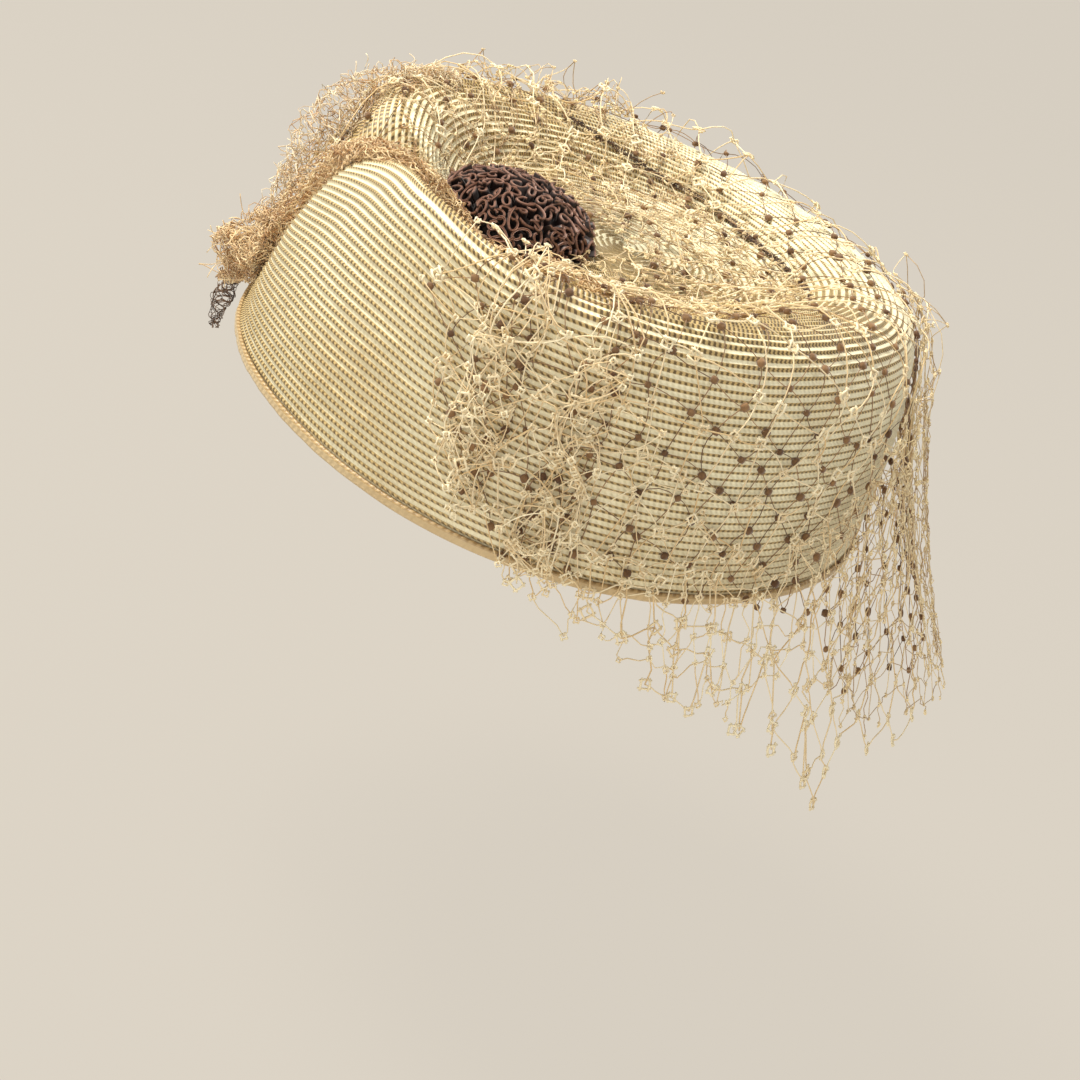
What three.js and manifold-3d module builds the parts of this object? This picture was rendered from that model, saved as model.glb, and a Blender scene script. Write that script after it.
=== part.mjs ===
// Pillbox hat of sewn straw braid with a soutache rosette and a double net veil.
// Millimetres, +Z up. The origin is the centre of the rim plane, where the hat sits on a head.
// The wearer's front is -Y and the wearer's left is +X.
import * as THREE from 'three';
import { mergeVertices } from 'three/addons/utils/BufferGeometryUtils.js';
import Module from 'manifold-3d';

const wasm = await Module();
wasm.setup();

// ---- main sizes ----
const RIM_HALF_WIDTH = 86;        // along X
const RIM_HALF_LENGTH = 87;       // along Y
const RIM_POWER = 2.15;           // 2 is an ellipse, more is squarer
const CROWN_WALL = 1.6;           // sewn braid, two layers where rows overlap
const DISH_CENTRE_Z = 52;
const DISH_CENTRE_SHARE = 0.25;   // share of the rim radius that stays level
const AROUND = 54;                // columns round the crown
const WALL_STEPS = 9;             // rows of facets from rim to crest
const TOP_STEPS = 7;              // rows of facets from crest to centre

const BAND_TOP = 4.2;             // edge braid round the rim
const BAND_PROUD = 1.5;
const PIECE_GAP = 0.35;

const ROSETTE_CENTRE = { x: -7, y: -32 };
const ROSETTE_RADIUS = 20.5;
const ROSETTE_RISE = 12;
const ROSETTE_SEAT_Z = 53;

const VEIL_GAP = 0.6;
const VEIL_THICKNESS = 1.0;

// Section of the crown by direction. The angle is measured in degrees from the wearer's front,
// towards the wearer's left. "In" is the distance inside the rim, "z" the height above it.
const SECTION_COLUMNS = [
  'angle', 'wallIn', 'wallZ', 'crestIn', 'crestZ', 'lipIn', 'lipZ', 'floorIn', 'floorZ',
];
const SECTION = [
  [-180, 5, 48, 10, 63, 30, 62, 42, 53],
  [-140, 4, 48, 10, 63, 30, 62, 42, 52],
  [-100, 3, 48, 8, 64, 30, 62, 42, 51],
  [-70, 5, 46, 10, 65, 28, 64, 42, 48],
  [-50, 9, 38, 18, 61, 29, 60, 42, 47],
  [-38, 16, 25, 27, 40, 37, 44, 48, 46],
  [-27, 5, 38, 15, 55, 26, 53, 40, 47],
  [-10, 6, 46, 15, 65, 24, 61, 36, 48],
  [10, 4, 50, 6, 70, 14, 65, 24, 49],
  [30, 1, 48, 3, 66, 14, 64, 26, 50],
  [60, 1, 46, 4, 66, 20, 66, 34, 52],
  [100, 3, 47, 9, 66, 28, 66, 42, 54],
  [140, 5, 48, 11, 64, 30, 63, 44, 54],
];

// Net lying on the crown: its lower and upper edges as places on the section, where 0 is the
// rim, 1 the crest and 2 the centre of the dish.
const COVER_COLUMNS = ['angle', 'low', 'high'];
const COVER = [
  [37, 0.18, 1.2],
  [52, 0.13, 1.5],
  [70, 0.13, 1.78],
  [90, 0.16, 1.82],
  [108, 0.42, 1.82],
  [126, 0.8, 1.82],
  [150, 0.85, 1.82],
  [172, 0.6, 1.82],
  [192, 0.3, 1.82],
  [230, 0.22, 1.82],
  [270, 0.3, 1.8],
  [290, 0.45, 1.72],
  [302, 0.5, 1.55],
];

// Net hanging free: where it leaves the crown, and how far out from the rim and how low its
// hem is. The hat is worn tipped to the wearer's left, so the hem swings out on that side.
const FALL_COLUMNS = ['angle', 'start', 'out', 'z'];
const FALL = [
  [46, 0.1, 2.6, -3],
  [53, 0.1, 6, -8],
  [62, 0.1, 8, -15],
  [74, 0.11, 10, -24],
  [86, 0.12, 13, -34],
  [96, 0.18, 20, -45],
  [104, 0.3, 25, -51],
  [112, 0.44, 24, -44],
  [120, 0.6, 30, -34],
  [130, 0.78, 38, -27],
  [140, 0.8, 36, -16],
  [152, 0.78, 28, -6],
  [166, 0.6, 16, -6],
  [180, 0.4, 6, -4],
  [190, 0.26, 4, -2],
];

const degrees = THREE.MathUtils.degToRad;

// ---- tables ----
function tableAt(rows, columns, value, period = 0) {
  const count = rows.length;
  const angleOf = (index) => {
    const turn = Math.floor(index / count);
    return rows[index - turn * count][0] + turn * period;
  };
  const held = (index) => Math.min(Math.max(index, 0), count - 1);
  const rowOf = (index) => rows[period ? ((index % count) + count) % count : held(index)];
  let index = 0;
  const last = period ? count - 1 : count - 2;
  while (index < last && value >= rows[index + 1][0]) {
    index += 1;
  }
  const at = (k) => (period ? angleOf(k) : rows[held(k)][0]);
  const [before, start, end, after] = [at(index - 1), at(index), at(index + 1), at(index + 2)];
  const span = end - start;
  const t = Math.min(Math.max((value - start) / span, 0), 1);
  const result = {};
  columns.forEach((name, column) => {
    const [p, q, r, s] = [-1, 0, 1, 2].map((k) => rowOf(index + k)[column]);
    const slopeStart = ((r - p) / (end - before)) * span;
    const slopeEnd = ((s - q) / (after - start)) * span;
    result[name] = (2 * t ** 3 - 3 * t ** 2 + 1) * q + (t ** 3 - 2 * t ** 2 + t) * slopeStart
      + (-2 * t ** 3 + 3 * t ** 2) * r + (t ** 3 - t ** 2) * slopeEnd;
  });
  return result;
}

function wrapAngle(angle) {
  return ((((angle + 180) % 360) + 360) % 360) - 180;
}

function rimRadius(angle) {
  const turn = degrees(angle - 90);
  const sum = Math.abs(Math.cos(turn) / RIM_HALF_WIDTH) ** RIM_POWER
    + Math.abs(Math.sin(turn) / RIM_HALF_LENGTH) ** RIM_POWER;
  return sum ** (-1 / RIM_POWER);
}

// ---- crown section ----
const BEND_STEPS = 8;

// A smooth line that runs straight into each corner's middle and rounds the corner off.
function roundedLine(corners) {
  const line = [corners[0].clone()];
  const breaks = [];
  for (let k = 1; k < corners.length - 1; k += 1) {
    const from = corners[k - 1].clone().lerp(corners[k], 0.5);
    const to = corners[k].clone().lerp(corners[k + 1], 0.5);
    for (let step = 0; step <= BEND_STEPS; step += 1) {
      const t = step / BEND_STEPS;
      const first = from.clone().lerp(corners[k], t);
      const second = corners[k].clone().lerp(to, t);
      if (step === BEND_STEPS / 2) {
        breaks.push(line.length);
      }
      line.push(first.lerp(second, t));
    }
  }
  line.push(corners[corners.length - 1].clone());
  return { line, breaks };
}

function alongLine(line, share) {
  const lengths = [0];
  for (let k = 1; k < line.length; k += 1) {
    lengths.push(lengths[k - 1] + line[k].distanceTo(line[k - 1]));
  }
  const wanted = share * lengths[lengths.length - 1];
  let k = 1;
  while (k < line.length - 1 && lengths[k] < wanted) {
    k += 1;
  }
  const t = (wanted - lengths[k - 1]) / Math.max(lengths[k] - lengths[k - 1], 1e-9);
  return line[k - 1].clone().lerp(line[k], Math.min(Math.max(t, 0), 1));
}

const CREST_CORNER = 3;
const sectionCache = new Map();

function sectionLines(angle) {
  const key = angle.toFixed(4);
  if (!sectionCache.has(key)) {
    const radius = rimRadius(angle);
    const c = tableAt(SECTION, SECTION_COLUMNS, wrapAngle(angle), 360);
    const corners = [
      new THREE.Vector2(radius, 0),
      new THREE.Vector2(radius - c.wallIn * 0.15, c.wallZ * 0.5),
      new THREE.Vector2(radius - c.wallIn, c.wallZ),
      new THREE.Vector2(radius - c.crestIn, c.crestZ),
      new THREE.Vector2(radius - c.lipIn, c.lipZ),
      new THREE.Vector2(radius - c.floorIn, c.floorZ),
      new THREE.Vector2(radius * DISH_CENTRE_SHARE, DISH_CENTRE_Z),
      new THREE.Vector2(0, DISH_CENTRE_Z),
    ];
    const { line, breaks } = roundedLine(corners);
    const crest = breaks[CREST_CORNER - 1];
    sectionCache.set(key, { wall: line.slice(0, crest + 1), top: line.slice(crest) });
  }
  return sectionCache.get(key);
}

// A point of the crown's outer face: place 0 is the rim, 1 the crest, 2 the centre.
function crownPoint(angle, place) {
  const { wall, top } = sectionLines(angle);
  const flat = place <= 1 ? alongLine(wall, place) : alongLine(top, Math.min(place, 2) - 1);
  const turn = degrees(angle - 90);
  return new THREE.Vector3(flat.x * Math.cos(turn), flat.x * Math.sin(turn), flat.y);
}

function crownNormal(angle, place) {
  const held = Math.min(place, 1.97);
  const around = crownPoint(angle + 1, held).sub(crownPoint(angle - 1, held));
  const below = crownPoint(angle, Math.max(place - 0.03, 0));
  const along = crownPoint(angle, Math.min(place + 0.03, 2)).sub(below);
  return around.cross(along).normalize();
}

function crownOffset(angle, place, distance) {
  return crownPoint(angle, place).addScaledVector(crownNormal(angle, place), distance);
}

// ---- mesh helpers ----
function geometryFrom(points, triangles) {
  const geometry = new THREE.BufferGeometry();
  const numbers = points.flatMap((p) => [p.x, p.y, p.z]);
  geometry.setAttribute('position', new THREE.Float32BufferAttribute(numbers, 3));
  geometry.setIndex(triangles.flat());
  return geometry;
}

function quad(triangles, a, b, c, d) {
  triangles.push([a, b, c], [a, c, d]);
}

function toManifold(geometry) {
  const plain = geometry.clone();
  plain.deleteAttribute('normal');
  plain.deleteAttribute('uv');
  const merged = mergeVertices(plain, 1e-4);
  return new wasm.Manifold(new wasm.Mesh({
    numProp: 3,
    vertProperties: new Float32Array(merged.attributes.position.array),
    triVerts: new Uint32Array(merged.index.array),
  }));
}

function fromManifold(solid) {
  const bodies = solid.decompose();
  bodies.sort((one, other) => other.volume() - one.volume());
  const mesh = bodies[0].getMesh();
  const geometry = new THREE.BufferGeometry();
  geometry.setAttribute('position', new THREE.Float32BufferAttribute(mesh.vertProperties, 3));
  geometry.setIndex(Array.from(mesh.triVerts));
  return geometry;
}

// ---- crown ----
// The crown between two offsets of its outer face. The rim edge is flat at z = rimZ.
function crownSolid(outer, inner, rimZ = 0) {
  const steps = WALL_STEPS + TOP_STEPS;
  const points = [];
  const triangles = [];
  const place = (step) => (
    step <= WALL_STEPS ? step / WALL_STEPS : 1 + (step - WALL_STEPS) / TOP_STEPS
  );
  [outer, inner].forEach((distance) => {
    for (let column = 0; column < AROUND; column += 1) {
      for (let step = 0; step < steps; step += 1) {
        const point = crownOffset((column * 360) / AROUND, place(step), distance);
        if (step === 0) {
          point.z = rimZ;
        }
        points.push(point);
      }
    }
    points.push(new THREE.Vector3(0, 0, DISH_CENTRE_Z + distance));
  });
  const layer = AROUND * steps + 1;
  const index = (side, column, step) => side * layer + (column % AROUND) * steps + step;
  for (let column = 0; column < AROUND; column += 1) {
    for (let step = 0; step < steps - 1; step += 1) {
      quad(triangles, index(0, column, step), index(0, column + 1, step),
        index(0, column + 1, step + 1), index(0, column, step + 1));
      quad(triangles, index(1, column, step), index(1, column, step + 1),
        index(1, column + 1, step + 1), index(1, column + 1, step));
    }
    triangles.push([index(0, column, steps - 1), index(0, column + 1, steps - 1), layer - 1]);
    triangles.push([index(1, column + 1, steps - 1), index(1, column, steps - 1), 2 * layer - 1]);
    quad(triangles, index(1, column, 0), index(1, column + 1, 0),
      index(0, column + 1, 0), index(0, column, 0));
  }
  return geometryFrom(points, triangles);
}

// ---- edge braid ----
function rimBand(grow = 0) {
  const inner = grow > 0 ? 0 : PIECE_GAP;
  const proud = BAND_PROUD + grow;
  const top = BAND_TOP + grow;
  const profile = [[inner, BAND_TOP * 0.5], [inner, top], [1.0, top],
    [proud, top - 0.8],
    [proud, 0.7 - grow], [1.0, -grow], [inner, -grow]];
  const points = [];
  const triangles = [];
  for (let column = 0; column < AROUND; column += 1) {
    const angle = (column * 360) / AROUND;
    const turn = degrees(angle - 90);
    profile.forEach(([out, z]) => {
      const radius = rimRadius(angle) + out + 0.1;
      points.push(new THREE.Vector3(radius * Math.cos(turn), radius * Math.sin(turn), z));
    });
  }
  const size = profile.length;
  for (let column = 0; column < AROUND; column += 1) {
    for (let k = 0; k < size; k += 1) {
      const next = (k + 1) % size;
      const over = (column + 1) % AROUND;
      quad(triangles, column * size + k, column * size + next, over * size + next, over * size + k);
    }
  }
  return geometryFrom(points, triangles);
}

// ---- a sheet between an inner and an outer grid of points ----
function sheetSolid(inner, outer) {
  const rows = inner.length;
  const columns = inner[0].length;
  const points = [...inner.flat(), ...outer.flat()];
  const index = (side, row, column) => side * rows * columns + row * columns + column;
  const triangles = [];
  for (let row = 0; row < rows - 1; row += 1) {
    for (let column = 0; column < columns - 1; column += 1) {
      quad(triangles, index(1, row, column), index(1, row + 1, column),
        index(1, row + 1, column + 1), index(1, row, column + 1));
      quad(triangles, index(0, row, column), index(0, row, column + 1),
        index(0, row + 1, column + 1), index(0, row + 1, column));
    }
  }
  const border = [];
  for (let column = 0; column < columns - 1; column += 1) {
    border.push([[0, column], [0, column + 1]], [[rows - 1, column + 1], [rows - 1, column]]);
  }
  for (let row = 0; row < rows - 1; row += 1) {
    border.push([[row + 1, 0], [row, 0]], [[row, columns - 1], [row + 1, columns - 1]]);
  }
  border.forEach(([from, to]) => {
    quad(triangles, index(0, ...from), index(1, ...from), index(1, ...to), index(0, ...to));
  });
  return geometryFrom(points, triangles);
}

// ---- net lying on the crown ----
// A thick sheet over the part of the crown that the net covers. It trims a thin offset of the
// crown, so that the net follows every facet of the braid under it.
function coverRegion() {
  const columns = 44;
  const places = 16;
  const first = COVER[0][0];
  const last = COVER[COVER.length - 1][0];
  const layer = (distance) => {
    const rows = [];
    for (let column = 0; column <= columns; column += 1) {
      const angle = first + ((last - first) * column) / columns;
      const edge = tableAt(COVER, COVER_COLUMNS, angle);
      const row = [];
      for (let step = 0; step <= places; step += 1) {
        row.push(crownOffset(angle, edge.low + ((edge.high - edge.low) * step) / places, distance));
      }
      rows.push(row);
    }
    return rows;
  };
  return sheetSolid(layer(-1.5), layer(4.5));
}

// ---- net hanging free ----
function veilFall() {
  const columns = 26;
  const steps = 6;
  const first = FALL[0][0];
  const last = FALL[FALL.length - 1][0];
  const layer = (distance) => {
    const rows = [];
    for (let column = 0; column <= columns; column += 1) {
      const angle = first + ((last - first) * column) / columns;
      const hang = tableAt(FALL, FALL_COLUMNS, angle);
      const start = crownOffset(angle, hang.start, VEIL_GAP + 0.9 + distance);
      const turn = degrees(angle - 90);
      const reach = rimRadius(angle) + hang.out + distance;
      const hem = new THREE.Vector3(reach * Math.cos(turn), reach * Math.sin(turn), hang.z);
      const corner = start.clone().lerp(hem, 0.4);
      corner.x += Math.cos(turn) * 1.5;
      corner.y += Math.sin(turn) * 1.5;
      const row = [];
      for (let step = steps; step >= 0; step -= 1) {
        const t = step / steps;
        row.push(start.clone().multiplyScalar((1 - t) ** 2)
          .addScaledVector(corner, 2 * t * (1 - t))
          .addScaledVector(hem, t ** 2));
      }
      rows.push(row);
    }
    return rows;
  };
  return sheetSolid(layer(0), layer(VEIL_THICKNESS));
}

// ---- domed rosette, gathered net ----
function domeSolid(radius, rise, drop, sides, rings) {
  const profile = [
    new THREE.Vector2(0, -drop),
    new THREE.Vector2(radius * 0.9, -drop),
    new THREE.Vector2(radius, 0),
  ];
  for (let ring = 1; ring < rings; ring += 1) {
    const turn = (ring / rings) * (Math.PI / 2);
    profile.push(new THREE.Vector2(radius * Math.cos(turn) ** 0.8, rise * Math.sin(turn)));
  }
  profile.push(new THREE.Vector2(0, rise));
  const geometry = new THREE.LatheGeometry(profile, sides);
  geometry.rotateX(Math.PI / 2);
  return geometry;
}

// A soft roll of net along a line of crown places, thick in the middle and thin at its ends.
function rollSolid(stations, sides) {
  const curve = new THREE.CatmullRomCurve3(stations.map((s) => {
    const turn = degrees(s.angle - 90);
    const reach = rimRadius(s.angle) - s.inset;
    return new THREE.Vector3(reach * Math.cos(turn), reach * Math.sin(turn), s.z);
  }));
  const steps = 14;
  const frames = curve.computeFrenetFrames(steps, false);
  const points = [];
  const triangles = [];
  for (let step = 0; step <= steps; step += 1) {
    const t = step / steps;
    const centre = curve.getPoint(t);
    const slot = t * (stations.length - 1);
    const k = Math.min(Math.floor(slot), stations.length - 2);
    const radius = THREE.MathUtils.lerp(stations[k].radius, stations[k + 1].radius, slot - k);
    for (let side = 0; side < sides; side += 1) {
      const turn = (side / sides) * 2 * Math.PI;
      points.push(centre.clone()
        .addScaledVector(frames.normals[step], radius * Math.cos(turn))
        .addScaledVector(frames.binormals[step], radius * Math.sin(turn)));
    }
  }
  points.push(curve.getPoint(0), curve.getPoint(1));
  for (let side = 0; side < sides; side += 1) {
    const next = (side + 1) % sides;
    for (let step = 0; step < steps; step += 1) {
      quad(triangles, step * sides + side, step * sides + next,
        (step + 1) * sides + next, (step + 1) * sides + side);
    }
    triangles.push([points.length - 2, next, side]);
    triangles.push([points.length - 1, steps * sides + side, steps * sides + next]);
  }
  return geometryFrom(points, triangles);
}

const VEIL_TUFT = [
  { angle: -54, inset: -10, z: -1, radius: 4 },
  { angle: -51, inset: -8, z: 5, radius: 8 },
  { angle: -47, inset: -4, z: 11, radius: 9.5 },
  { angle: -44, inset: 0, z: 17, radius: 8 },
  { angle: -40, inset: 3, z: 23, radius: 5 },
];

const VEIL_ROLL = [
  { angle: -42, inset: 2, z: 20, radius: 4.5 },
  { angle: -37, inset: 6, z: 34, radius: 5.5 },
  { angle: -32, inset: 11, z: 48, radius: 5.5 },
  { angle: -27, inset: 16, z: 57, radius: 5 },
  { angle: -19, inset: 21, z: 61, radius: 4.2 },
  { angle: -10, inset: 25, z: 61, radius: 3.8 },
  { angle: -3, inset: 31, z: 57, radius: 3.5 },
];

const VEIL_POUF = [
  { angle: 9, inset: 31, z: 55, radius: 2.5 },
  { angle: 18, inset: 27, z: 57, radius: 4 },
  { angle: 25, inset: 26, z: 59, radius: 4.8 },
  { angle: 32, inset: 25, z: 60, radius: 4.8 },
  { angle: 38, inset: 24, z: 61, radius: 4 },
  { angle: 44, inset: 24, z: 61, radius: 2.5 },
];

const crownKeepOut = toManifold(crownSolid(PIECE_GAP, -CROWN_WALL - 4, -2));

function clearOf(geometry, ...others) {
  let solid = toManifold(geometry);
  others.forEach((other) => {
    solid = solid.subtract(other);
  });
  return solid;
}

const coverTrim = toManifold(coverRegion());
const coverTop = VEIL_GAP + VEIL_THICKNESS;
const coverBody = toManifold(crownSolid(coverTop, VEIL_GAP, -1)).intersect(coverTrim);
const coverGrown = toManifold(crownSolid(coverTop + 0.3, VEIL_GAP - 0.3, -1)).intersect(coverTrim);

const rosetteGeometry = domeSolid(ROSETTE_RADIUS, ROSETTE_RISE, 8, 26, 5);
rosetteGeometry.translate(ROSETTE_CENTRE.x, ROSETTE_CENTRE.y, ROSETTE_SEAT_Z);
const rosetteGuard = domeSolid(ROSETTE_RADIUS + PIECE_GAP, ROSETTE_RISE + PIECE_GAP, 9, 26, 5);
rosetteGuard.translate(ROSETTE_CENTRE.x, ROSETTE_CENTRE.y, ROSETTE_SEAT_Z);
const rosetteBody = toManifold(rosetteGuard);

const bandGuard = toManifold(rimBand(PIECE_GAP));
const rollGrown = toManifold(rollSolid(VEIL_ROLL.map((s) => ({ ...s, radius: s.radius + 0.5 })), 10));

// ---- materials ----
const straw = new THREE.MeshStandardMaterial({ color: '#d9cba4', roughness: 0.5, metalness: 0 });
const edgeStraw = new THREE.MeshStandardMaterial({ color: '#c2a878', roughness: 0.55, metalness: 0 });
const soutache = new THREE.MeshStandardMaterial({ color: '#4a2f22', roughness: 0.6, metalness: 0 });
const brownNet = new THREE.MeshStandardMaterial({ color: '#8f745a', roughness: 0.8, metalness: 0 });
const creamNet = new THREE.MeshStandardMaterial({ color: '#cdb184', roughness: 0.8, metalness: 0 });

const hat = new THREE.Group();

function addPiece(name, geometry, material) {
  geometry.computeVertexNormals();
  const mesh = new THREE.Mesh(geometry, material);
  mesh.name = name;
  hat.add(mesh);
}

addPiece('crown', crownSolid(0, -CROWN_WALL), straw);
addPiece('rim_band', rimBand(), edgeStraw);
addPiece('rosette', fromManifold(clearOf(rosetteGeometry, crownKeepOut)), soutache);
addPiece('veil_cover', fromManifold(coverBody), brownNet);
addPiece('veil_fall', veilFall(), creamNet);

function addGather(name, stations, ...others) {
  const solid = clearOf(rollSolid(stations, 10), crownKeepOut, coverGrown, ...others);
  addPiece(name, fromManifold(solid), creamNet);
}

addGather('veil_tuft', VEIL_TUFT, rollGrown, bandGuard);
addGather('veil_roll', VEIL_ROLL, rosetteBody);
addGather('veil_pouf', VEIL_POUF, rosetteBody);

export default hat;
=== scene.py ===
"""A pillbox hat of sewn straw braid, with a soutache rosette and two nets.

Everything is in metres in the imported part's frame: +Z up through the crown, -Y the wearer's front,
+X the wearer's left and the origin at the middle of the rim. The tables are in millimetres.
"""

import logging
import math
from dataclasses import dataclass, field, replace
from enum import Enum
from functools import partial

import bmesh
import bpy
import numpy as np
from mathutils import Matrix, Vector
from mathutils.bvhtree import BVHTree


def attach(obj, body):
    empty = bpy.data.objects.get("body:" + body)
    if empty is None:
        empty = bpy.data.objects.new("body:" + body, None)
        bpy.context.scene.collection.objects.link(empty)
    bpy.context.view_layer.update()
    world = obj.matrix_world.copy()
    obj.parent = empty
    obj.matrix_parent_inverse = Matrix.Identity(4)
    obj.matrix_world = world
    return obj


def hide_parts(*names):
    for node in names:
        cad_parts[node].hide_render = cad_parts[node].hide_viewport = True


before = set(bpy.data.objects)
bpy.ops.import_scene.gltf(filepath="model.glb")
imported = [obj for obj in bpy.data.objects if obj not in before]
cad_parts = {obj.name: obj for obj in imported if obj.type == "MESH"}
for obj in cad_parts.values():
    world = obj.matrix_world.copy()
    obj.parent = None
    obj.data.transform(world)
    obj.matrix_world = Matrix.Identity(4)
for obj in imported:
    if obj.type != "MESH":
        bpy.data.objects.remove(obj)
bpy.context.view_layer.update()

logging.basicConfig(level=logging.INFO, format="%(message)s")
LOG = logging.getLogger("hat")
Shape = tuple[np.ndarray, np.ndarray]
Socket = bpy.types.NodeSocket
Colour = tuple[int, int, int]
Triple = tuple[float, float, float]
MM = 0.001
BRAID_RUN = 543.0  # the length of braid in one round of the rim, in millimetres
PLACE_RUN = 70.0  # about how long one place of a section is, in millimetres
STEEP = 0.9  # above this share a line counts as upright


# ---- tables and lines


def smooth_table(rows: np.ndarray, values: np.ndarray, period: float = 0.0) -> np.ndarray:
    """Read a table between its rows on a smooth line.

    Args:
        rows: the table, with its first column rising.
        values: where to read it.
        period: the table repeats after this much, or 0 where it ends.

    Returns:
        One row of the other columns for each value.
    """
    knots, body = rows[:, 0], rows[:, 1:]
    count = len(rows)
    if period:
        values = (values - knots[0]) % period + knots[0]
        knots = np.concatenate([[knots[-1] - period], knots, knots[:2] + period])
        body = np.concatenate([body[-1:], body, body[:2]])
    else:
        values = np.clip(values, knots[0], knots[-1])
        knots = np.concatenate([knots[:1], knots, knots[-1:]])
        body = np.concatenate([body[:1], body, body[-1:]])
    last = count if period else count - 1
    k = np.clip(np.searchsorted(knots[1:-1], values, side="right"), 1, last)
    span = knots[k + 1] - knots[k]
    t = ((values - knots[k]) / span)[:, None]
    first = (body[k + 1] - body[k - 1]) * (span / (knots[k + 1] - knots[k - 1]))[:, None]
    second = (body[k + 2] - body[k]) * (span / (knots[k + 2] - knots[k]))[:, None]
    return (
        (2 * t**3 - 3 * t**2 + 1) * body[k]
        + (t**3 - 2 * t**2 + t) * first
        + (3 * t**2 - 2 * t**3) * body[k + 1]
        + (t**3 - t**2) * second
    )


def rows_of(kind: type, *rows: tuple[float, ...]) -> tuple[object, ...]:
    """Make one row of a table from each tuple, in the order of the kind's fields."""
    return tuple(kind(*row) for row in rows)


def table_of(rows: tuple[object, ...]) -> np.ndarray:
    """Put the rows of a table in an array."""
    return np.array([list(vars(row).values()) for row in rows], float)


def unit(vectors: np.ndarray) -> np.ndarray:
    """Give each vector length 1."""
    return vectors / np.maximum(np.linalg.norm(vectors, axis=-1, keepdims=True), 1e-12)


def ripple(values: np.ndarray, pitches: tuple[float, ...], seed: int) -> np.ndarray:
    """Add up a few waves of odd pitches into a soft, repeatable unevenness of about -1 to 1.

    Args:
        values: where to read the waves.
        pitches: waves for each unit of the values.
        seed: settles where each wave starts.

    Returns:
        The unevenness at each value.
    """
    starts = np.random.default_rng(seed).uniform(0, 2 * math.pi, len(pitches))
    total = sum(np.sin(2 * math.pi * p * values + s) for p, s in zip(pitches, starts))
    return total / math.sqrt(len(pitches))


# ---- the crown's form


@dataclass(frozen=True)
class Section:
    """The crown's section in one direction, in millimetres.

    The angle is in degrees from the wearer's front towards the wearer's left. An "inset" is the
    distance inside the rim and a "height" the distance above it.
    """

    angle: float
    wall_inset: float
    wall_height: float
    crest_inset: float
    crest_height: float
    lip_inset: float
    lip_height: float
    floor_inset: float
    floor_height: float


SECTIONS = rows_of(
    Section,
    (-180, 5, 48, 10, 63, 30, 62, 42, 53), (-140, 4, 48, 10, 63, 30, 62, 42, 52),
    (-100, 3, 48, 8, 64, 30, 62, 42, 51), (-70, 5, 46, 10, 65, 28, 64, 42, 48),
    (-50, 9, 38, 18, 61, 29, 60, 42, 47), (-38, 16, 25, 27, 40, 37, 44, 48, 46),
    (-27, 5, 38, 15, 55, 26, 53, 40, 47), (-10, 6, 46, 15, 65, 24, 61, 36, 48),
    (10, 4, 50, 6, 70, 14, 65, 24, 49), (30, 1, 48, 3, 66, 14, 64, 26, 50),
    (60, 1, 46, 4, 66, 20, 66, 34, 52), (100, 3, 47, 9, 66, 28, 66, 42, 54),
    (140, 5, 48, 11, 64, 30, 63, 44, 54),
)


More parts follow.
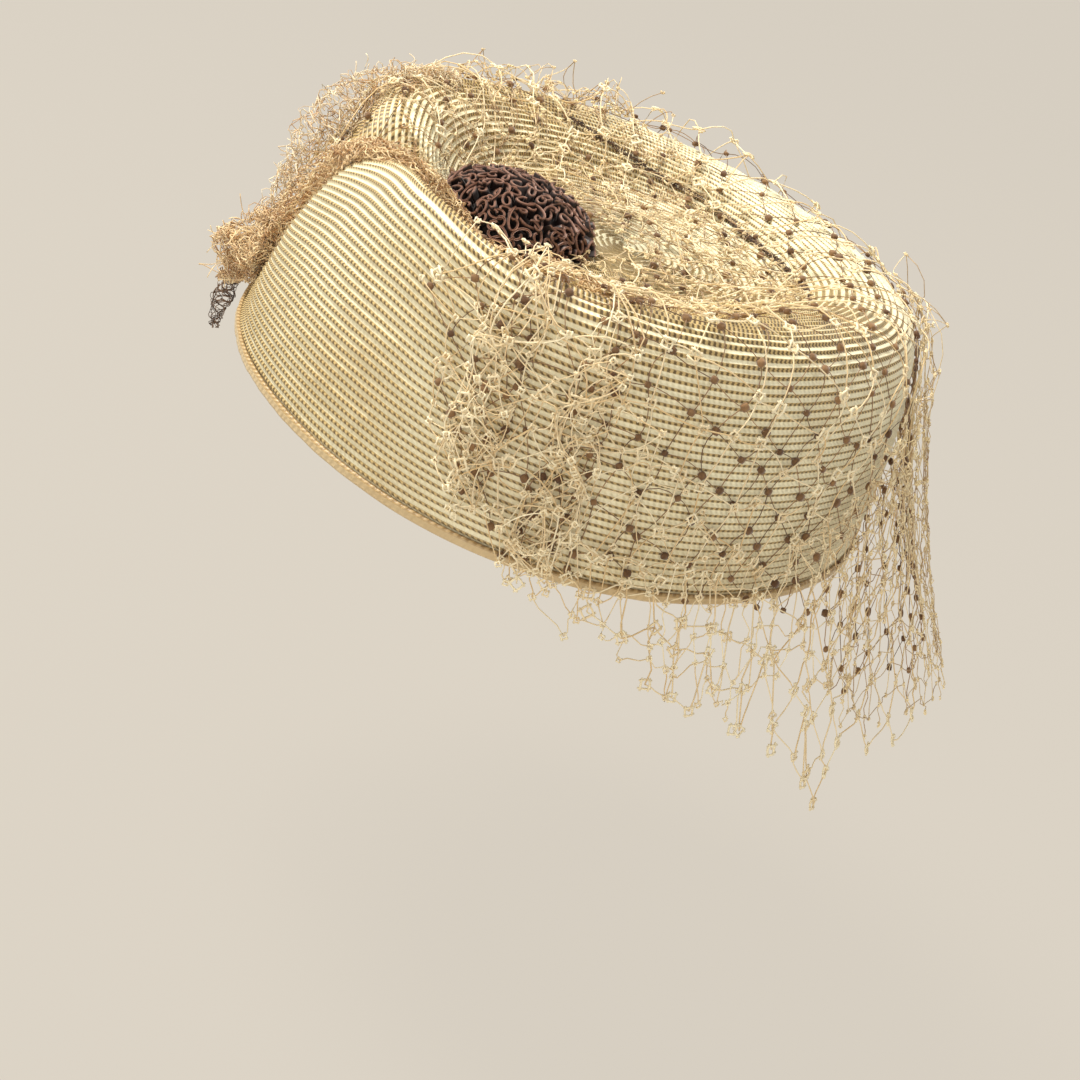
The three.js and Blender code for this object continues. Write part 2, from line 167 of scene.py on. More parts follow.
@dataclass
class CrownForm:
    """The outer face of the crown, as places on a section that turns round the hat.

    Place 0 is the rim, 1 the crest of the shoulder and 2 the middle of the dish.
    """

    rim_half_width: float = 86.0
    rim_half_length: float = 87.0
    rim_power: float = 2.15
    dish_centre_height: float = 52.0
    dish_centre_share: float = 0.25
    columns: int = 360
    steps: int = 120
    bend_steps: int = 16
    grid: np.ndarray = field(init=False)
    wall_length: np.ndarray = field(init=False)
    top_length: np.ndarray = field(init=False)

    def __post_init__(self) -> None:
        """Work the sections out once, at every degree."""
        angles = np.arange(self.columns) * 360.0 / self.columns
        c = smooth_table(table_of(SECTIONS), angles, 360.0)
        radius = self.rim_radius(angles)
        level = np.full_like(radius, self.dish_centre_height)
        corners = np.stack(
            [
                np.stack([radius, 0 * radius], -1),
                np.stack([radius - 0.15 * c[:, 0], 0.5 * c[:, 1]], -1),
                np.stack([radius - c[:, 0], c[:, 1]], -1),
                np.stack([radius - c[:, 2], c[:, 3]], -1),
                np.stack([radius - c[:, 4], c[:, 5]], -1),
                np.stack([radius - c[:, 6], c[:, 7]], -1),
                np.stack([radius * self.dish_centre_share, level], -1),
                np.stack([0 * radius, level], -1),
            ],
            1,
        )
        line = [corners[:, 0]]
        crest = 0
        for k in range(1, 7):
            start = (corners[:, k - 1] + corners[:, k]) / 2
            end = (corners[:, k] + corners[:, k + 1]) / 2
            for step in range(self.bend_steps + 1):
                t = step / self.bend_steps
                if k == 3 and step == self.bend_steps // 2:
                    crest = len(line)
                line.append((1 - t) ** 2 * start + 2 * t * (1 - t) * corners[:, k] + t**2 * end)
        line.append(corners[:, 7])
        line = np.stack(line, 1)
        wall, self.wall_length = self.evenly(line[:, : crest + 1])
        top, self.top_length = self.evenly(line[:, crest:])
        self.grid = np.concatenate([wall, top[:, 1:]], 1)

    def evenly(self, lines: np.ndarray) -> tuple[np.ndarray, np.ndarray]:
        """Space the points of each line evenly along it.

        Args:
            lines: one line of points for each column.

        Returns:
            The evenly spaced lines, and each line's length.
        """
        reach = np.cumsum(np.linalg.norm(np.diff(lines, axis=1), axis=2), axis=1)
        reach = np.concatenate([np.zeros((len(lines), 1)), reach], 1)
        wanted = np.linspace(0, 1, self.steps + 1)
        out = np.empty((len(lines), self.steps + 1, 2))
        for k, line in enumerate(lines):
            for axis in range(2):
                out[k, :, axis] = np.interp(wanted * reach[k, -1], reach[k], line[:, axis])
        return out, reach[:, -1]

    def rim_radius(self, angle: np.ndarray) -> np.ndarray:
        """Give the rim's radius in each direction, in millimetres."""
        turn = np.radians(angle - 90)
        wide = np.abs(np.cos(turn) / self.rim_half_width) ** self.rim_power
        long = np.abs(np.sin(turn) / self.rim_half_length) ** self.rim_power
        return (wide + long) ** (-1 / self.rim_power)

    def lengths(self, angle: np.ndarray) -> tuple[np.ndarray, np.ndarray]:
        """Give the length of the wall and of the top along each section."""
        turn = np.arange(self.columns + 1) * 360.0 / self.columns
        wall = np.interp(angle % 360, turn, np.append(self.wall_length, self.wall_length[0]))
        top = np.interp(angle % 360, turn, np.append(self.top_length, self.top_length[0]))
        return wall, top

    def point(self, angle: np.ndarray, place: np.ndarray) -> np.ndarray:
        """Find points of the crown's outer face.

        Args:
            angle: degrees from the wearer's front towards the wearer's left.
            place: 0 at the rim, 1 at the crest, 2 at the middle of the dish.

        Returns:
            The points, in millimetres.
        """
        angle, place = np.broadcast_arrays(np.asarray(angle, float), np.asarray(place, float))
        column = (angle % 360) * self.columns / 360.0
        row = np.clip(place, 0, 2) * self.steps
        c0 = np.floor(column).astype(int) % self.columns
        c1 = (c0 + 1) % self.columns
        r0 = np.minimum(np.floor(row).astype(int), 2 * self.steps - 1)
        s = (column - np.floor(column))[..., None]
        t = (row - r0)[..., None]
        flat = (1 - t) * ((1 - s) * self.grid[c0, r0] + s * self.grid[c1, r0])
        flat = flat + t * ((1 - s) * self.grid[c0, r0 + 1] + s * self.grid[c1, r0 + 1])
        turn = np.radians(angle - 90)
        return np.stack([flat[..., 0] * np.cos(turn), flat[..., 0] * np.sin(turn), flat[..., 1]], -1)

    def normal(self, angle: np.ndarray, place: np.ndarray) -> np.ndarray:
        """Find the outward normal at places of the outer face."""
        held = np.minimum(place, 1.97)
        around = self.point(angle + 1.5, held) - self.point(angle - 1.5, held)
        low = np.maximum(place - 0.025, 0)
        along = self.point(angle, np.minimum(place + 0.025, 2)) - self.point(angle, low)
        return unit(np.cross(around, along))

    def lifted(self, angle: np.ndarray, place: np.ndarray, lift: np.ndarray) -> np.ndarray:
        """Find points a distance outside the outer face, in millimetres."""
        lift = np.broadcast_to(np.asarray(lift, float), np.shape(angle))
        return self.point(angle, place) + self.normal(angle, place) * lift[..., None]


# ---- mesh helpers


def clear_selection() -> None:
    """Deselect everything, so that an operator acts on one piece."""
    for thing in bpy.context.selected_objects:
        thing.select_set(False)


def shaped_grid(name: str, points: np.ndarray, uv: np.ndarray | None = None) -> bpy.types.Object:
    """Add a flat grid and draw its points to their places.

    Args:
        name: the piece's name.
        points: rows by columns by 3, in millimetres.
        uv: rows by columns by 2, for the piece's UV map.

    Returns:
        The piece, at the origin.
    """
    rows, columns = points.shape[:2]
    clear_selection()
    bpy.ops.mesh.primitive_grid_add(x_subdivisions=columns - 1, y_subdivisions=rows - 1, size=0.1)
    piece = bpy.context.object
    piece.name = piece.data.name = name
    mesh = piece.data
    mesh.vertices.foreach_set("co", (points * MM).reshape(-1).astype(np.float32))
    if uv is not None:
        corner = np.empty(len(mesh.loops), np.int32)
        mesh.loops.foreach_get("vertex_index", corner)
        layer = mesh.uv_layers.active or mesh.uv_layers.new(name="UVMap")
        layer.data.foreach_set("uv", uv.reshape(-1, 2)[corner].reshape(-1).astype(np.float32))
    mesh.update()
    return piece


def weld(piece: bpy.types.Object, distance: float = 1e-5) -> None:
    """Close a piece's seams and turn its faces outwards.

    Args:
        piece: the piece to close.
        distance: points nearer than this become one, in metres.
    """
    work = bmesh.new()
    work.from_mesh(piece.data)
    bmesh.ops.remove_doubles(work, verts=work.verts, dist=distance)
    bmesh.ops.dissolve_degenerate(work, edges=work.edges, dist=distance * 0.1)
    bmesh.ops.recalc_face_normals(work, faces=work.faces)
    if work.calc_volume(signed=True) < 0:
        bmesh.ops.reverse_faces(work, faces=work.faces)
    work.to_mesh(piece.data)
    work.free()
    piece.data.update()


def smooth(piece: bpy.types.Object, angle: float = 180.0) -> None:
    """Shade a piece smooth up to an angle in degrees."""
    clear_selection()
    piece.select_set(True)
    bpy.context.view_layer.objects.active = piece
    if angle >= 180:
        bpy.ops.object.shade_smooth()
    else:
        bpy.ops.object.shade_smooth_by_angle(angle=math.radians(angle))


def tube_faces(count: int, steps: int, sides: int) -> np.ndarray:
    """Number the side faces of tubes whose points are stored ring by ring.

    Args:
        count: how many tubes there are.
        steps: how many rings each one has.
        sides: how many points each ring has.

    Returns:
        Four point numbers for each face.
    """
    first = (np.arange(count) * steps * sides)[:, None, None]
    first = first + (np.arange(steps - 1) * sides)[None, :, None]
    k = np.arange(sides)[None, None]
    n = (k + 1) % sides
    return np.stack([first + k, first + n, first + sides + n, first + sides + k], -1).reshape(-1, 4)


class Heap:
    """Many small shapes, gathered into one mesh."""

    def __init__(self) -> None:
        """Start with nothing."""
        self.points: list[np.ndarray] = []
        self.faces: list[np.ndarray] = []
        self.marks: list[np.ndarray] = []
        self.count = 0

    def add(self, points: np.ndarray, faces: np.ndarray, mark: np.ndarray | float = 0.0) -> None:
        """Add shapes.

        Args:
            points: the points, in millimetres.
            faces: four point numbers for each face; a triangle repeats its last.
            mark: a number for each point, which a finish may read as "tone".
        """
        self.points.append(points)
        self.faces.append(faces + self.count)
        self.marks.append(np.broadcast_to(np.asarray(mark, float), (len(points),)))
        self.count += len(points)

    def add_tubes(
        self, lines: np.ndarray, radius: np.ndarray | float, mark: np.ndarray | float = 0.0
    ) -> None:
        """Add a closed tube of four sides along each line.

        Args:
            lines: lines by points by 3, in millimetres.
            radius: one radius, or one for each line and point.
            mark: one tone, or one for each line.
        """
        sides = 4
        count, steps = lines.shape[:2]
        along = unit(np.gradient(lines, axis=1))
        steep = np.abs(along[..., 2:3]) >= STEEP
        side = unit(np.cross(along, np.where(steep, [[[1.0, 0.0, 0.0]]], [[[0.0, 0.0, 1.0]]])))
        rise = np.cross(side, along)
        turn = (np.arange(sides) + 0.5) * 2 * math.pi / sides
        ring = side[:, :, None] * np.cos(turn)[:, None] + rise[:, :, None] * np.sin(turn)[:, None]
        size = np.broadcast_to(np.asarray(radius, float), (count, steps))[:, :, None, None]
        points = (lines[:, :, None] + ring * size).reshape(-1, 3)
        base = (np.arange(count) * steps * sides)[:, None]
        cap = np.array([0, 3, 2, 1])
        caps = [base + cap, base + (steps - 1) * sides + cap[::-1]]
        tones = np.repeat(np.broadcast_to(np.asarray(mark, float), (count,)), steps * sides)
        self.add(points, np.concatenate([tube_faces(count, steps, sides), *caps]), tones)

    def add_copies(self, shape: Shape, places: np.ndarray, frames: np.ndarray, mark: np.ndarray) -> None:
        """Add copies of a small shape.

        Args:
            shape: its points and its faces.
            places: where each copy goes, in millimetres.
            frames: a 3 by 3 matrix for each copy, whose rows are its own axes.
            mark: one tone for each copy.
        """
        points, faces = shape
        spread = np.einsum("pk,ckx->cpx", points, frames) + places[:, None]
        numbers = faces[None] + (np.arange(len(places)) * len(points))[:, None, None]
        tones = np.repeat(mark, len(points))
        self.add(spread.reshape(-1, 3), numbers.reshape(-1, 4), tones)

    def piece(self, name: str) -> bpy.types.Object:
        """Make the mesh.

        Args:
            name: the piece's name.

        Returns:
            The piece, at the origin, with the attribute "tone".
        """
        points = np.concatenate(self.points) * MM
        faces = np.concatenate(self.faces)
        three = faces[:, 3] == faces[:, 2]
        totals = np.where(three, 3, 4).astype(np.int32)
        keep = np.ones(faces.shape, bool)
        keep[three, 3] = False
        mesh = bpy.data.meshes.new(name)
        mesh.vertices.add(len(points))
        mesh.vertices.foreach_set("co", points.reshape(-1).astype(np.float32))
        mesh.loops.add(int(totals.sum()))
        mesh.loops.foreach_set("vertex_index", faces[keep].astype(np.int32))
        mesh.polygons.add(len(faces))
        starts = np.concatenate([[0], np.cumsum(totals)[:-1]])
        mesh.polygons.foreach_set("loop_start", starts.astype(np.int32))
        mesh.polygons.foreach_set("loop_total", totals)
        tone = mesh.attributes.new("tone", "FLOAT", "POINT")
        tone.data.foreach_set("value", np.concatenate(self.marks).astype(np.float32))
        mesh.update(calc_edges=True)
        mesh.validate()
        piece = bpy.data.objects.new(name, mesh)
        bpy.context.collection.objects.link(piece)
        smooth(piece)
        return piece


# ---- finishes


def shade(red: int, green: int, blue: int) -> tuple[float, float, float, float]:
    """Turn an everyday colour, 0 to 255 a channel, into the renderer's."""
    shares = [c / 255 for c in (red, green, blue)]
    return tuple(c / 12.92 if c <= 0.04045 else ((c + 0.055) / 1.055) ** 2.4 for c in shares) + (1.0,)


class Recipe:
    """A short way to write a material's nodes."""

    def __init__(self, name: str) -> None:
        """Start a material with one shader."""
        self.material = bpy.data.materials.new(name)
        self.material.use_nodes = True
        self.tree = self.material.node_tree
        self.shader = self.tree.nodes["Principled BSDF"]

    def node(self, kind: str, **settings: object) -> bpy.types.Node:
        """Add a node and set its properties."""
        made = self.tree.nodes.new(kind)
        for key, value in settings.items():
            setattr(made, key, value)
        return made

    def join(self, out: Socket, into: Socket) -> None:
        """Link two sockets."""
        self.tree.links.new(out, into)

    def value(self, out: Socket | float, into: Socket) -> None:
        """Feed a socket from another one or from a plain number."""
        if isinstance(out, (int, float)):
            into.default_value = out
        else:
            self.join(out, into)

    def math(self, kind: str, a: object, b: object = 0.0) -> Socket:
        """Work out one sum."""
        made = self.node("ShaderNodeMath", operation=kind)
        self.value(a, made.inputs[0])
        self.value(b, made.inputs[1])
        return made.outputs[0]

    def place(self, source: str, scale: Triple = (1, 1, 1)) -> Socket:
        """Read the Object or UV coordinates, scaled."""
        spot = self.node("ShaderNodeTexCoord")
        turn = self.node("ShaderNodeMapping")
        turn.inputs["Scale"].default_value = scale
        self.join(spot.outputs[source], turn.inputs["Vector"])
        return turn.outputs["Vector"]

    def noise(self, where: Socket, scale: float, detail: float = 3.0) -> Socket:
        """Read a soft noise, 0 to 1."""
        made = self.node("ShaderNodeTexNoise")
        made.inputs["Scale"].default_value = scale
        made.inputs["Detail"].default_value = detail
        self.join(where, made.inputs["Vector"])
        return made.outputs["Fac"]

    def blend(self, factor: object, first: object, second: object, kind: str = "MIX") -> Socket:
        """Mix two colours."""
        made = self.node("ShaderNodeMix", data_type="RGBA", blend_type=kind)
        self.value(factor, made.inputs["Factor"])
        for colour, into in ((first, made.inputs["A"]), (second, made.inputs["B"])):
            if isinstance(colour, tuple):
                into.default_value = colour
            else:
                self.join(colour, into)
        return made.outputs["Result"]

    def spread(self, source: object, low: float, high: float) -> Socket:
        """Stretch a range of values to 0 to 1."""
        made = self.node("ShaderNodeMapRange")
        self.value(source, made.inputs["Value"])
        made.inputs["From Min"].default_value = low
        made.inputs["From Max"].default_value = high
        return made.outputs["Result"]

    def bump(self, height: Socket, strength: float, depth: float) -> None:
        """Raise the surface by a height, in metres at full strength."""
        made = self.node("ShaderNodeBump")
        made.inputs["Strength"].default_value = strength
        made.inputs["Distance"].default_value = depth
        self.join(height, made.inputs["Height"])
        self.join(made.outputs["Normal"], self.shader.inputs["Normal"])

    def set(self, **values: object) -> None:
        """Set plain values on the shader's own sockets, with _ for a space."""
        for key, value in values.items():
            self.shader.inputs[key.replace("_", " ")].default_value = value


@dataclass(frozen=True)
class StrawFinish:
    """Glossy ivory straw, plaited and sewn in rows, with a painted highlight on each row's lip and painted
    shade in its recess and in the plait's holes. It reads the UV map: plait lengths and rows.
    """

    name: str = "sewn_straw"
    # The lip colour is the straw with a painted highlight on each row's ridge, the body colour is the
    # straw with painted shade in the recess, and the stitch colour is painted shade in the plait's holes.
    lip_highlight: Colour = (255, 248, 214)
    body: Colour = (208, 182, 125)
    stitch: Colour = (84, 64, 28)
    plait: float = 1.5
    roughness: float = 0.42
    relief: float = 0.00022

    def make(self) -> bpy.types.Material:
        """Make the material."""
        r = Recipe(self.name)
        uv = r.place("UV")
        parts = r.node("ShaderNodeSeparateXYZ")
        r.join(uv, parts.inputs[0])
        length, row = parts.outputs[0], parts.outputs[1]
        across = r.math("FRACT", row)
        number = r.math("FLOOR", row)
        shift = r.math("MULTIPLY", number, 0.37)
        beat = r.math("ADD", r.math("DIVIDE", length, self.plait), shift)
        slant = r.math("ADD", beat, r.math("MULTIPLY", across, 0.9))
        weave = r.math("SINE", r.math("MULTIPLY", slant, 2 * math.pi))
        # Painted light: the recess of each row is darkened as painted shade and the lip lightened as a
        # painted highlight; the dark dashes are painted shade in the plait's holes within the recess.
        recess_shade_zone = r.spread(across, 0.45, 0.58)
        hole_shade = r.spread(weave, -0.3, 0.4)
        dash_shade = r.math("MULTIPLY", hole_shade, r.math("MULTIPLY", recess_shade_zone, r.spread(across, 1.0, 0.86)))
        where = r.place("Object")
        patch = r.noise(where, 34.0, 4.0)
        grain = r.noise(where, 900.0, 2.0)
        lip_highlight_zone = r.math("SUBTRACT", 1.0, recess_shade_zone)
        base = r.blend(lip_highlight_zone, shade(*self.body), shade(*self.lip_highlight))
        warm = r.blend(r.spread(patch, 0.35, 0.72), base, shade(214, 186, 132), "MULTIPLY")
        mixed = r.blend(r.math("MULTIPLY", r.spread(patch, 0.3, 0.8), 0.35), base, warm)
        dash_shaded = r.blend(r.math("MULTIPLY", dash_shade, 0.92), mixed, shade(*self.stitch))
        streak = r.math("MULTIPLY", r.spread(grain, 0.45, 0.75), 0.16)
        streaked = r.blend(streak, dash_shaded, shade(150, 126, 82))
        r.join(streaked, r.shader.inputs["Base Color"])
        rough = r.math("ADD", r.math("MULTIPLY", grain, 0.25), self.roughness - 0.12)
        r.join(rough, r.shader.inputs["Roughness"])
        height = r.math("ADD", r.math("MULTIPLY", weave, -0.5), r.math("MULTIPLY", grain, 0.35))
        r.bump(height, 0.7, self.relief)
        r.set(Specular_IOR_Level=0.55, Coat_Weight=0.18, Coat_Roughness=0.35, Sheen_Weight=0.05)
        return r.material


@dataclass(frozen=True)
class ThreadFinish:
    """Spun thread or net. It reads the attribute "tone" between two colours."""

    name: str
    dark: Colour
    light: Colour
    roughness: float = 0.7
    fuzz: float = 0.3
    relief: float = 0.0001
    grain: float = 1500.0

    def make(self) -> bpy.types.Material:
        """Make the material."""
        r = Recipe(self.name)
        tone = r.node("ShaderNodeAttribute", attribute_name="tone", attribute_type="GEOMETRY")
        where = r.place("Object")
        twist = r.noise(where, self.grain, 2.0)
        fade = r.noise(where, 60.0, 2.0)
        lift = r.math("ADD", tone.outputs["Fac"], r.math("MULTIPLY", r.math("SUBTRACT", twist, 0.5), 0.7))
        lift = r.math("ADD", lift, r.math("MULTIPLY", r.math("SUBTRACT", fade, 0.5), 0.5))
        colour = r.blend(r.spread(lift, 0.0, 1.0), shade(*self.dark), shade(*self.light))
        r.join(colour, r.shader.inputs["Base Color"])
        rough = r.math("ADD", r.math("MULTIPLY", twist, 0.2), self.roughness - 0.1)
        r.join(rough, r.shader.inputs["Roughness"])
        r.bump(twist, 0.6, self.relief)
        r.set(Sheen_Weight=self.fuzz, Sheen_Roughness=0.5)
        return r.material


# The rim band's lip, body and stitch colours carry a milder painted highlight on the lip and painted shade
# in the recess and the plait's holes.
RIM_STRAW = StrawFinish("rim_straw", (214, 190, 146), (196, 168, 120), (150, 120, 76), plait=1.9)
BROWN = ThreadFinish("brown_thread", (88, 58, 32), (178, 138, 92), 0.8, 0.25)
CREAM = ThreadFinish("cream_thread", (226, 192, 134), (255, 242, 206), 0.65, 0.3)
CRUSHED_TAN = ThreadFinish("crushed_thread", (150, 108, 62), (255, 236, 190), 0.75, 0.3)
GATHERED_TAN = ThreadFinish("gathered_thread", (170, 122, 68), (254, 230, 182), 0.75, 0.3)
GATHERED_CREAM = ThreadFinish("gathered_cream", (190, 146, 92), (255, 242, 208), 0.7, 0.35)
GATHERED_BROWN = ThreadFinish("gathered_brown", (44, 26, 16), (120, 88, 60), 0.8, 0.25)
# The soutache's light colour serves the painted highlight along the cords' top edges.
SOUTACHE = ThreadFinish("soutache_cord", (30, 10, 6), (150, 110, 92), 0.5, 0.1, 0.00015, 1100.0)

MADE: dict[str, bpy.types.Material] = {}


def dress(piece: bpy.types.Object, finish: StrawFinish | ThreadFinish, slot: str, *nodes: str) -> None:
    """Give a piece its finish and its body, and hide the CAD nodes that it stands for.

    Args:
        piece: the piece.
        finish: what it is finished with.
        slot: not used.
        nodes: the CAD nodes that it replaces.
    """
    if finish.name not in MADE:
        MADE[finish.name] = finish.make()
    piece.data.materials.clear()
    piece.data.materials.append(MADE[finish.name])
    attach(piece, "root")
    if nodes:
        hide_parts(*nodes)
    LOG.info("%s: %d faces", piece.name, len(piece.data.polygons))


# ---- straw


@dataclass
class StrawCrown:
    """The crown: one long braid sewn in a spiral from the rim over the shoulder into the dish."""

    form: CrownForm
    wall_rows: int = 33
    top_rows: int = 40
    columns: int = 240
    thickness: float = 1.6
    inner_loops: int = 56
    row_profile: tuple[tuple[float, float], ...] = ((0.0, 0.0), (0.1, 0.52), (0.3, 0.6), (0.46, 0.16))

    def build(self) -> bpy.types.Object:
        """Model the crown, closed at the rim.

        Returns:
            The dressed piece.
        """
        rows = self.wall_rows + self.top_rows
        count = len(self.row_profile)
        loop = np.arange(-count, rows * count + 1)
        turn = np.arange(self.columns + 1) / self.columns
        share = np.array([p[0] for p in self.row_profile])
        rise = np.array([p[1] for p in self.row_profile])
        whole = np.floor_divide(loop, count)
        part = np.mod(loop, count)
        number = whole[:, None] + turn[None]
        row = np.clip(number + share[part][:, None], 0, rows)
        angle = np.broadcast_to(turn[None] * 360.0 + 180.0, row.shape)
        waver = ripple(number, (2.3, 5.7, 13.1, 29.9), 3)
        stitch = ripple(number, (61.7, 97.3, 133.9), 4)
        place = self.place(row + 0.05 * waver * (share[part][:, None] > 0))
        height = rise[part][:, None] * (1 + 0.12 * waver + 0.1 * stitch)
        edge = np.clip(np.minimum(row, rows - row) * 2, 0, 1)
        outer = self.form.lifted(angle, place, height * edge + 0.05 * waver * edge)
        inner_place = np.linspace(2, 0, self.inner_loops)[:, None] + 0 * turn[None]
        inner_angle = np.broadcast_to(turn[None] * 360.0 + 180.0, inner_place.shape)
        inner = self.form.lifted(inner_angle, inner_place, -self.thickness)
        inner[-1, :, 2] = 0.0
        points = np.concatenate([outer, inner, outer[:1]])
        uv = np.zeros(points.shape[:2] + (2,))
        uv[: len(outer), :, 0] = turn[None] * BRAID_RUN
        uv[: len(outer), :, 1] = row
        uv[len(outer) : -1, :, 0] = turn[None] * BRAID_RUN
        uv[len(outer) : -1, :, 1] = self.row_at(inner_place)
        uv[-1] = uv[0]
        piece = shaped_grid("straw_crown", points, uv)
        weld(piece)
        smooth(piece)
        dress(piece, StrawFinish(), "straw_braid", "crown")
        return piece

    def place(self, row: np.ndarray) -> np.ndarray:
        """Find the place of a row, counted from the rim."""
        wall = row / self.wall_rows
        return np.clip(np.where(wall <= 1, wall, 1 + (row - self.wall_rows) / self.top_rows), 0, 2)

    def row_at(self, place: np.ndarray) -> np.ndarray:
        """Find the row at a place."""
        over = self.wall_rows + (place - 1) * self.top_rows
        return np.where(place <= 1, place * self.wall_rows, over)


@dataclass
class EdgeBraid:
    """The plain band that binds the rim."""

    form: CrownForm
    height: float = 2.8
    columns: int = 240

    def build(self) -> bpy.types.Object:
        """Model the band as a closed ring.

        Returns:
            The dressed piece.
        """
        profile = np.array(
            [(0.4, 0.1), (0.4, 1.4), (0.4, self.height - 0.1), (0.9, self.height),
             (1.35, self.height - 0.35), (1.45, self.height - 0.9), (1.3, self.height * 0.5),
             (1.45, 0.9), (1.35, 0.35), (0.9, 0.02), (0.4, 0.1)]
        )
        turn = np.arange(self.columns + 1) / self.columns
        angle = turn * 360.0
        radius = self.form.rim_radius(angle)
        round_way = 2 * math.pi * turn
        uneven = 0.12 * ripple(np.cos(round_way) * 3 + np.sin(round_way) * 2, (1.3, 3.1, 6.7), 8)
        reach = radius[None] + profile[:, :1] + uneven[None] * (profile[:, :1] > 0.5)
        way = np.radians(angle - 90)[None]
        height = np.broadcast_to(profile[:, 1:], reach.shape)
        points = np.stack([reach * np.cos(way), reach * np.sin(way), height], -1)
        row = np.linspace(0, 1.3, len(profile))[:, None] + 0.4
        uv = np.stack(np.broadcast_arrays(turn[None] * BRAID_RUN, row), -1)
        piece = shaped_grid("edge_braid", points, uv)
        weld(piece)
        smooth(piece)
        dress(piece, RIM_STRAW, "edge_braid", "rim_band")
        return piece


# ---- nets


class Knot(Enum):
    """What sits where the strands of a net cross."""

    CHENILLE_DOT = "chenille dot"
    OPEN_KNOT = "open knot"


def dot_shape(size: float, thickness: float) -> Shape:
    """Make a soft square dot, flat in its own XY.

    Args:
        size: its width.
        thickness: how thick it is.

    Returns:
        Its points and faces.
    """
    work = bmesh.new()
    bmesh.ops.create_cube(work, size=2.0)
    bmesh.ops.subdivide_edges(work, edges=work.edges, cuts=1, use_grid_fill=True)
    work.verts.ensure_lookup_table()
    cube = np.array([v.co[:] for v in work.verts])
    faces = np.array([[v.index for v in f.verts] for f in work.faces])
    work.free()
    round_part = unit(cube) * 1.25
    points = cube * 0.45 + round_part * 0.55
    return points * np.array([size / 2, size / 2, thickness / 2]), faces


def knot_shape(size: float, radius: float) -> Shape:
    """Make an open square knot of four short thick threads, flat in its own XY.

    Args:
        size: its width.
        radius: the threads' radius.

    Returns:
        Its points and faces.
    """
    heap = Heap()
    half, arm = size * 0.3, size * 0.5
    lines = [
        [(-arm, -half, 0.1), (0, -half * 1.2, 0.3), (arm, -half, -0.1)],
        [(arm, half, 0.1), (0, half * 1.2, 0.3), (-arm, half, -0.1)],
        [(-half, arm, -0.1), (-half * 1.2, 0, -0.2), (-half, -arm, 0.1)],
        [(half, -arm, -0.1), (half * 1.2, 0, -0.2), (half, arm, 0.1)],
    ]
    heap.add_tubes(np.array(lines, float), radius)
    return heap.points[0], heap.faces[0]


def lattice(first: np.ndarray, second: np.ndarray) -> tuple[np.ndarray, np.ndarray]:
    """Lay out a diagonal net: crossings at every other place, joined corner to corner.

    Args:
        first: the places one way, in whole numbers.
        second: the places the other way.

    Returns:
        Each crossing's two places, and each strand's two crossings.
    """
    one, other = np.meshgrid(first, second, indexing="ij")
    even = (one + other) % 2 == 0
    number = np.full(one.shape, -1)
    number[even] = np.arange(even.sum())
    strands = []
    for step in (1, -1):
        a = number[:-1, max(0, -step) : number.shape[1] - max(0, step)]
        b = number[1:, max(0, step) : number.shape[1] + min(0, step)]
        both = (a >= 0) & (b >= 0)
        strands.append(np.stack([a[both], b[both]], -1))
    return np.stack([one[even], other[even]], -1), np.concatenate(strands)


@dataclass(frozen=True)
class NetStyle:
    """How a net is made, in millimetres."""

    cell_width: float
    cell_height: float
    strand: float
    knot: Knot
    knot_size: float
    slack: float
    uneven: float


BROWN_NET = NetStyle(14.0, 14.0, 0.12, Knot.CHENILLE_DOT, 1.65, 0.5, 1.4)
CREAM_NET = NetStyle(16.0, 16.0, 0.19, Knot.OPEN_KNOT, 3.2, 1.6, 2.6)
CRUSHED_NET = NetStyle(5.2, 5.2, 0.13, Knot.OPEN_KNOT, 1.1, 1.7, 1.8)
HEM_NET = NetStyle(10.0, 11.0, 0.15, Knot.OPEN_KNOT, 1.7, 2.2, 2.6)
SIDE_NET = NetStyle(8.0, 8.0, 0.12, Knot.OPEN_KNOT, 1.2, 2.6, 2.0)


@dataclass(frozen=True)
class Cover:
    """How far the net covers the crown in one direction, as places on the section."""

    angle: float
    low: float
    high: float


COVERS = rows_of(
    Cover,
    (14, 0.92, 1.0), (19, 0.75, 1.08), (23, 0.61, 1.1), (30, 0.35, 1.15), (37, 0.18, 1.3),
    (44, 0.05, 1.6), (60, 0.05, 1.9), (90, 0.16, 1.97), (108, 0.42, 1.97), (126, 0.8, 1.97),
    (150, 0.85, 1.97), (172, 0.6, 1.97), (192, 0.3, 1.97), (230, 0.22, 1.97), (270, 0.3, 1.9),
    (290, 0.42, 1.74), (302, 0.45, 1.6), (314, 0.55, 1.4),
)


@dataclass(frozen=True)
class Hang:
    """Where the net leaves the crown in one direction, and where its hem hangs."""

    angle: float
    start: float
    out: float
    height: float


HANGS = rows_of(
    Hang,
    (44, 0.05, 1.5, 0), (53, 0.08, 6, -7), (62, 0.1, 8, -15), (74, 0.11, 10, -24),
    (86, 0.14, 13, -31), (96, 0.25, 20, -39), (104, 0.36, 25, -43), (112, 0.5, 25, -40),
    (120, 0.66, 30, -32), (130, 0.78, 38, -27), (140, 0.82, 36, -16), (152, 0.8, 28, -6),
    (166, 0.6, 16, -6), (180, 0.4, 6, -4), (190, 0.26, 3, -2),
)


@dataclass(frozen=True)
class Trim:
    """How much of the hanging length one net keeps in one direction."""

    angle: float
    share: float


